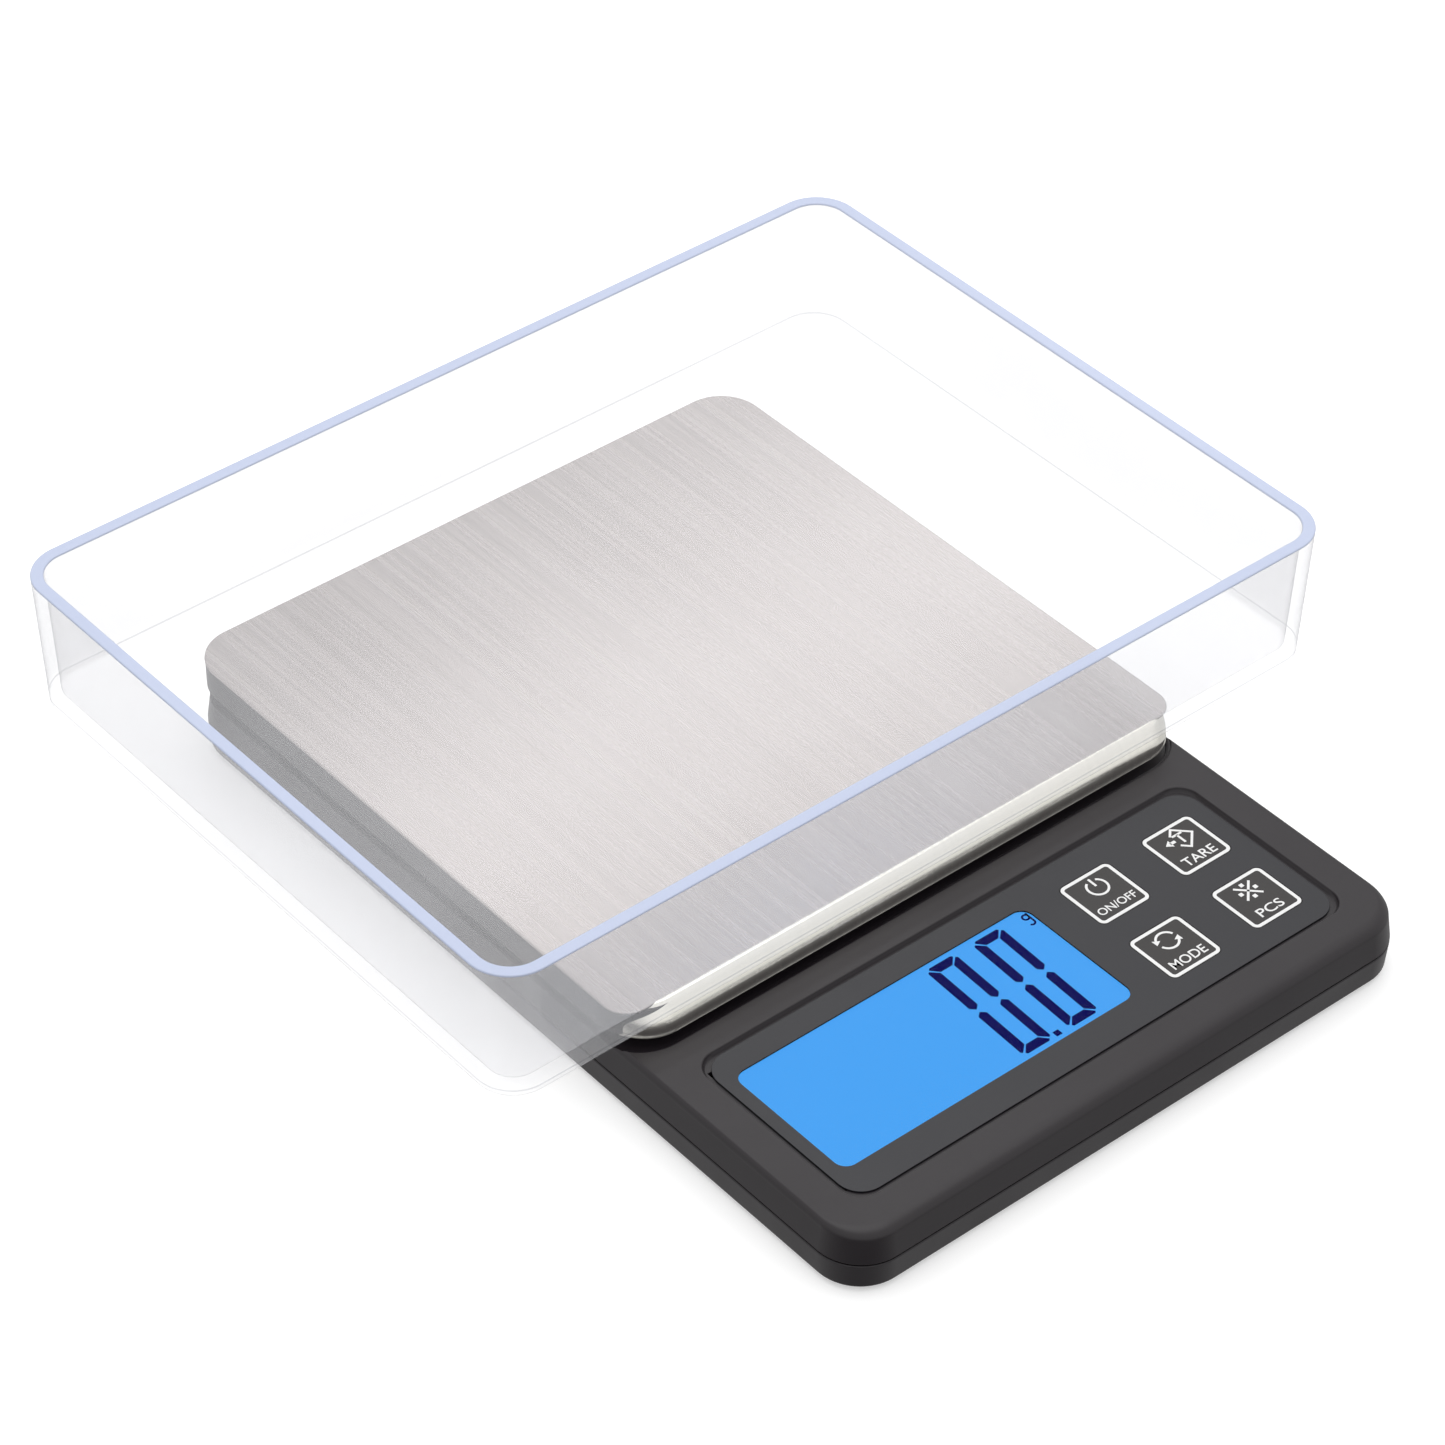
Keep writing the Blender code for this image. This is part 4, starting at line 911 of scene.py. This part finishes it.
# ---- display
def make_display():
    low, high = LCD_LOW, LCD_HIGH
    glass = block("lcd_panel", low, (high.x, high.y, high.z - 0.05 * MM), EPOXY, upright=0.4 * MM)
    stands_for(glass, "housing", "lcd_glass", "lcd_glass")
    around = inset(WINDOW, -0.4 * MM)
    lit = loft("lcd_lit_area", [(high.z - 0.15 * MM, around), (high.z, around)], LCD_LIT)
    lit.visible_glossy = False
    stands_for(lit, "housing", "lcd_glass")

    right_edge, foot, back_edge = WINDOW[1], WINDOW[2] + 1.4 * MM, WINDOW[3]
    width, height, lean = 6.35 * MM, 24.3 * MM, 0.9 * MM
    bars = digit_outlines(width, height, 1.75 * MM, 0.16 * MM)
    heights = (high.z - 0.01 * MM, high.z + 0.03 * MM)
    digits = Print(*heights)
    for right in (right_edge - 6.6 * MM, right_edge - 16.5 * MM):
        left = right - width
        for shape in bars:
            digits.area([(left + px + lean * py / height, foot + py) for px, py in shape])
    x, y, size = right_edge - 15.85 * MM, foot - 0.1 * MM, 1.15 * MM
    digits.area([(x, y), (x + size, y), (x + size, y + size), (x, y + size)])
    stands_for(digits.piece("lcd_digits", NAVY), "housing", "lcd_glass")

    unit, radius, line = Print(*heights), 0.58 * MM, 0.36 * MM
    x, y = right_edge - 0.95 * MM, back_edge - 1.7 * MM
    hook = (x, y - 1.45 * MM)
    unit.line(arc((x, y), radius, 0, 360, 28), line)
    unit.line([(x + radius, y + radius + line / 2), (x + radius, hook[1])], line)
    unit.line(arc(hook, radius, 10, -150, 20), line)
    stands_for(unit.piece("lcd_unit", NAVY), "housing", "lcd_glass")


def digit_outlines(width, height, thick, gap):
    """The six bars of a nought, from its lower left corner, without its lean."""
    mid, cut, notch = height / 2, 0.42 * thick, 0.35 * MM
    bevel, shoulder, blunt = 0.62 * cut, 0.2, 0.45 * thick
    bars = []
    for y_out, y_in in ((height, height - thick), (0.0, thick)):
        y_bevel = y_out + shoulder * (y_in - y_out)
        bars.append([
            (cut + gap, y_out), (width - cut - gap, y_out), (width - bevel - gap, y_bevel),
            (width - thick - gap, y_in), (thick + gap, y_in), (bevel + gap, y_bevel),
        ])
    for x_out, x_in, y_end, toward in (
        (0.0, thick, height, -1), (width, width - thick, height, -1),
        (0.0, thick, 0.0, 1), (width, width - thick, 0.0, 1),
    ):
        bars.append([
            (x_out, y_end + toward * (cut + gap)),
            (x_out + shoulder * (x_in - x_out), y_end + toward * (bevel + gap)),
            (x_in, y_end + toward * (thick + gap)), (x_in, mid - toward * (notch + blunt)),
            ((x_in + x_out) / 2, mid - toward * notch), (x_out, mid - toward * (notch + blunt)),
        ])
    for points in bars:
        if sum(a[0] * b[1] - b[0] * a[1] for a, b in zip(points, points[1:] + points[:1])) < 0:
            points.reverse()
    return bars


# ---- platform
FRONT_PROFILE = (  # setback and drop from the top of the sheet, mm: from the lower edge up to the flat top
    (0.10, 5.80), (-0.12, 5.74), (-0.14, 5.62), (0.0, 5.42), (0.0, 4.90), (0.0, 4.40), (0.04, 3.90),
    (0.16, 3.40), (0.40, 2.85), (0.68, 2.25), (0.97, 1.65), (1.26, 1.05), (1.50, 0.55), (1.68, 0.25),
    (1.90, 0.06), (2.15, 0.01),
)
SHARP_BELOW = 50  # degrees between faces that still shade as one round edge of the sheet


def make_platform():
    """A steel sheet on a black base, with the front edge of the sheet rolled down in front of the base. The
    base's black sides are painted shade: they stand for the sides and back of the steel skirt, which lie in
    shade.
    """
    low, high = PLATE_LOW.z, PLATE_HIGH.z
    steps = CORNER_STEPS + 8
    edge, thick, groove = 0.25 * MM, 0.55 * MM, 0.15 * MM
    flat = (*inset(PLATE, 0.0, front=FRONT_PROFILE[-1][0] * MM + groove), 4.5 * MM)
    levels = quarter(high - thick + edge, flat, -edge, edge, 5)[::-1]
    levels += quarter(high - edge, flat, edge, edge, 6)
    sheet = loft("platform_sheet", levels, STEEL, steps=steps)
    stands_for(shaded(sheet, SHARP_BELOW), "platform", "stainless", "platform_plate")

    # Painted shade: the black base stands for the shaded sides and back of the steel skirt.
    sides = inset(PLATE, 0.1 * MM, front=1.5 * MM)
    curl = 0.3 * MM
    levels = quarter(low + curl, sides, -curl, curl, 5)[::-1]
    levels.append((high - thick - 0.02 * MM, sides))
    base = loft("platform_skirt_painted_shade", levels, ABS, steps=steps)
    inner = inset(sides, 1.4 * MM)
    combined(base, loft("hollow", [(low - MM, inner), (high - thick - 1.5 * MM, inner)]))
    stands_for(shaded(base), "platform", "stainless")

    x_low, x_high, y_low = PLATE[:3]
    front = (x_low + MM, x_high, y_low, y_low + 2.4 * PLATE_CORNER, PLATE_CORNER)
    levels = []
    for back, drop in FRONT_PROFILE:
        side = min(back, 0.35) if drop < 1 or drop > 5.5 else 0.0
        levels.append((high - drop * MM, inset(front, side * MM, front=back * MM)))
    # The front edge takes the painted-lit copy of the steel.
    band = loft("platform_front_edge", levels, EDGE_STEEL, steps=steps)
    behind = (x_low - MM, x_high + MM, y_low + 0.62 * PLATE_CORNER, y_low + 4 * PLATE_CORNER, 0.1 * MM)
    combined(band, loft("behind", [(low - MM, behind), (high + MM, behind)], steps=4))
    stands_for(shaded(band, SHARP_BELOW), "platform", "stainless")


# ---- tray
def make_tray():
    z_low, z_high = TRAY_LOW.z, TRAY_HIGH.z
    rim = (TRAY_LOW.x, TRAY_HIGH.x, TRAY_LOW.y, TRAY_HIGH.y, 8.0 * MM)
    draft, wall, edge, lip, inner_edge = 1.1 * MM, 2.2 * MM, 0.8 * MM, 0.25 * MM, 0.9 * MM
    floor = z_low + 1.8 * MM
    levels = []

    def level(z, by):
        levels.append((z, inset(rim, by[0] + draft * (z_high - z) / (z_high - z_low) + by[1])))

    for angle in quarter_angles(FILLET_STEPS + 2):
        level(z_low + edge * (1 - math.cos(angle)), (0.0, edge * (1 - math.sin(angle))))
    for angle in quarter_angles(FILLET_STEPS):
        level(z_high - lip + lip * math.sin(angle), (0.0, lip * (1 - math.cos(angle))))
    for angle in quarter_angles(FILLET_STEPS)[::-1]:
        level(z_high - lip + lip * math.sin(angle), (wall, -lip * (1 - math.cos(angle))))
    for angle in quarter_angles(FILLET_STEPS):
        level(floor + inner_edge * (1 - math.sin(angle)), (wall, inner_edge * (1 - math.cos(angle))))

    plastic = clear_plastic(
        "clear_plastic", painted_shade_line=(z_low + 1.30 * MM, z_low + 1.65 * MM), floor_top=floor,
        rim=(z_high - 0.45 * MM, z_high - 0.25 * MM),
    )
    tray = shaded(loft("tray", levels, plastic, steps=CORNER_STEPS + 4), 40)
    tray.visible_shadow = tray.visible_diffuse = tray.visible_glossy = False
    stands_for(tray, "tray", "clear_plastic", "weighing_tray")


# ---- underside
def make_feet():
    for i in CORNERS:
        low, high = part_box(f"rubber_foot_{i}")
        radius = (high.x - low.x) / 2
        from_edge = (  # inward and up, mm: the rounded edge, then a shallow groove in the sole
            (0.0, 0.5), (0.06, 0.28), (0.2, 0.1), (0.5, 0.0), (1.5, 0.0),
            (1.65, 0.12), (1.8, 0.2), (1.95, 0.12), (2.1, 0.0),
        )
        profile = [(0, high.z), (radius, high.z), *((radius - x * MM, low.z + z * MM) for x, z in from_edge)]
        profile += [(0.9 * MM, low.z), (0.7 * MM, low.z + 0.12 * MM), (0, low.z + 0.2 * MM)]
        foot = turned(f"foot_{i}", profile, (*middle_of(low, high), 0), RUBBER)
        stands_for(shaded(foot), "housing", "foot_rubber", f"rubber_foot_{i}")


def make_screw(node):
    """A pan-head screw with a cross recess, driven from below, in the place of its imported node."""
    low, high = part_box(node)
    x, y = middle_of(low, high)
    head, length = (high.x - low.x) / 2, high.z - low.z
    shank = head * 0.48
    thick = min(0.42 * head * 2, length * 0.25, 1.1 * MM)
    doming = [math.radians(angle) for angle in range(0, 91, 10)]
    profile = [(head * math.sin(angle), thick * (1 - math.cos(angle)) * 0.55) for angle in doming]
    profile += [(head, thick), (shank, thick)]
    pitch = 0.5 * MM
    z = thick + 0.2 * MM
    while z < length - 0.8 * MM:
        profile += [(shank, z), (shank * 0.8, z + pitch / 2)]
        z += pitch
    profile += [(shank * 0.7, length - 0.4 * MM), (0, length)]
    screw = turned(node + "_detailed", profile, (x, y, low.z), ZINC, sides=40)
    arm, blade = 0.5 * head, 0.11 * head
    below, end = low.z - MM, low.z + thick * 0.62
    combined(screw, *(
        block(name, (x - dx, y - dy, below), (x + dx, y + dy, end), upright=blade * 0.6)
        for name, dx, dy in (("slot_a", arm, blade), ("slot_b", blade, arm))
    ))
    stands_for(shaded(screw), "housing", "zinc_steel", node)


def make_cells():
    """Two AAA cells, side by side and head to tail."""
    for i, way in ((1, 1), (2, -1)):
        low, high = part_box(f"aaa_cell_{i}")
        ends = (low.x, high.x)[::way]
        sleeve = striped_sleeve(f"cell_sleeve_{i}", ends, rgb(40, 42, 46), rgb(196, 120, 52))
        radius, length = (high.y - low.y) / 2, high.x - low.x
        shoulder = length - 0.9 * MM
        profile = [
            (0, 0), (radius - 1.1 * MM, 0), (radius - 0.5 * MM, 0.05 * MM), (radius - 0.12 * MM, 0.25 * MM),
            (radius, 0.6 * MM), (radius, shoulder - 0.7 * MM), (radius - 0.12 * MM, shoulder - 0.25 * MM),
            (radius - 0.6 * MM, shoulder), (1.95 * MM, shoulder), (1.9 * MM, length - 0.2 * MM),
            (1.7 * MM, length), (0, length),
        ]
        centre = (ends[0], (low.y + high.y) / 2, (low.z + high.z) / 2)
        cell = turned(f"cell_{i}", profile, centre, sleeve, NICKEL, direction=(way, 0, 0))
        for face in cell.data.polygons:
            if abs(face.normal.x) > 0.8 or abs((face.center.x - ends[0])) > shoulder:
                face.material_index = 1
        stands_for(shaded(cell), "housing", "cell_sleeve", f"aaa_cell_{i}")


# ---- load cell
def make_load_beam():
    """The load cell's beam, cut into strips across its flexure."""
    low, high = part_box("load_cell")
    middle, reach, strips = (low + high) / 2, Vector((7.0 * MM, 0, 0)), 8
    node = frame["nodes"]["load_cell"]
    bm = bmesh.new()
    bm.from_mesh(node.data)
    bm.transform(node.matrix_world)
    for step in range(strips + 1):
        place = middle + reach * (2 * step / strips - 1)
        whole = [*bm.verts, *bm.edges, *bm.faces]
        bmesh.ops.bisect_plane(bm, geom=whole, plane_co=place, plane_no=(1, 0, 0))
    beam = shaded(from_bmesh("load_cell_beam", bm, ALUMINIUM))
    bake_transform(beam)
    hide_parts("load_cell")


# ---- room
def make_floor():
    """Pale paper, clear when seen from below."""
    n = Nodes("paper_floor")
    grain = n.noise(120, 3.0, 0.6)
    n.set(
        Base_Color=n.ramp(grain, (0.2, 0.695), (0.8, 0.705)),
        Roughness=0.9,
        Specular_IOR_Level=0.1,
        Emission_Color=(1.0, 1.0, 1.0, 1.0),
        Emission_Strength=0.40,
    )
    from_below = n.add("NewGeometry").outputs["Backfacing"]
    clear = n.add("BsdfTransparent").outputs[0]
    paper = n.finish_with(n.joined("MixShader", from_below, n.shader.outputs[0], clear))
    bm = bmesh.new()
    bmesh.ops.create_grid(bm, x_segments=2, y_segments=2, size=3.0)
    floor = from_bmesh("floor", bm, paper)
    floor.visible_diffuse = floor.visible_glossy = False


def area_light(name, place, target, size, power):
    """A rectangular light at place, facing target, with its first side level and along X."""
    data = bpy.data.lights.new(name, "AREA")
    data.shape = "RECTANGLE"
    data.size, data.size_y = size
    data.energy = power
    light = placed(name, data)
    light.location = place
    back = (Vector(place) - Vector(target)).normalized()
    along = (Vector((1, 0, 0)) - back * back.x).normalized()
    light.rotation_euler = Matrix((along, back.cross(along), back)).transposed().to_euler()


BEHIND_CAMERA = (-0.65, -0.76, 0.0)
SKY = 0.95
GROUND, GROUND_BEHIND_CAMERA = 0.62, 0.16


def make_lights():
    """A white sky over a dimmer ground, darkest behind the camera, with two area lights."""
    n = Nodes("studio", bpy.data.worlds, "Background", "Generated")
    toward = n.joined("VectorMath", n.place, BEHIND_CAMERA).node
    toward.operation = "DOT_PRODUCT"
    below = n.range(toward.outputs["Value"], 0.1, 0.75, GROUND, GROUND_BEHIND_CAMERA)
    up = n.add("SeparateXYZ", Vector=n.place).outputs["Z"]
    n.set(Color=(1.0, 1.0, 1.0, 1.0), Strength=n.range(up, -0.25, 0.05, below, SKY))
    scene.world = n.owner
    area_light("overhead", (0.10, 0.15, 1.3), (0, 0, 0), (1.2, 1.2), 6.0)
    area_light("steel_band", (0.75, 0.89, 0.98), (0, 0.012, 0), (0.7, 0.10), 0.50)


def make_camera():
    """Looks from where the photo was taken."""
    target, distance = Vector((-0.0017, 0.0104, 0.019)), 0.803
    azimuth, elevation, roll = (math.radians(a) for a in (-40.34, 40.25, 0.61))
    data = bpy.data.cameras.new("camera")
    data.lens, data.sensor_width = 120.2, 36.0
    data.clip_start, data.clip_end = 0.01, 20.0
    camera = placed("camera", data)
    level = math.cos(elevation)
    back = Vector((math.sin(azimuth) * level, -math.cos(azimuth) * level, math.sin(elevation)))
    turn = back.to_track_quat("Z", "Y").to_matrix().to_4x4() @ Matrix.Rotation(roll, 4, "Z")
    camera.matrix_world = Matrix.Translation(target + back * distance) @ turn
    scene.camera = camera


make_camera()
dress_cad_nodes()
make_upper_shell()
make_lower_shell()
make_battery_cover()
make_overlay()
make_keys()
make_display()
make_platform()
make_tray()
make_feet()
for index in CORNERS:
    make_screw(f"housing_screw_{index}")
for index in (1, 2):
    make_screw(f"load_cell_fixed_screw_{index}")
make_cells()
make_load_beam()
make_floor()
make_lights()
scene.view_settings.view_transform = "Standard"
scene.view_settings.look = "None"
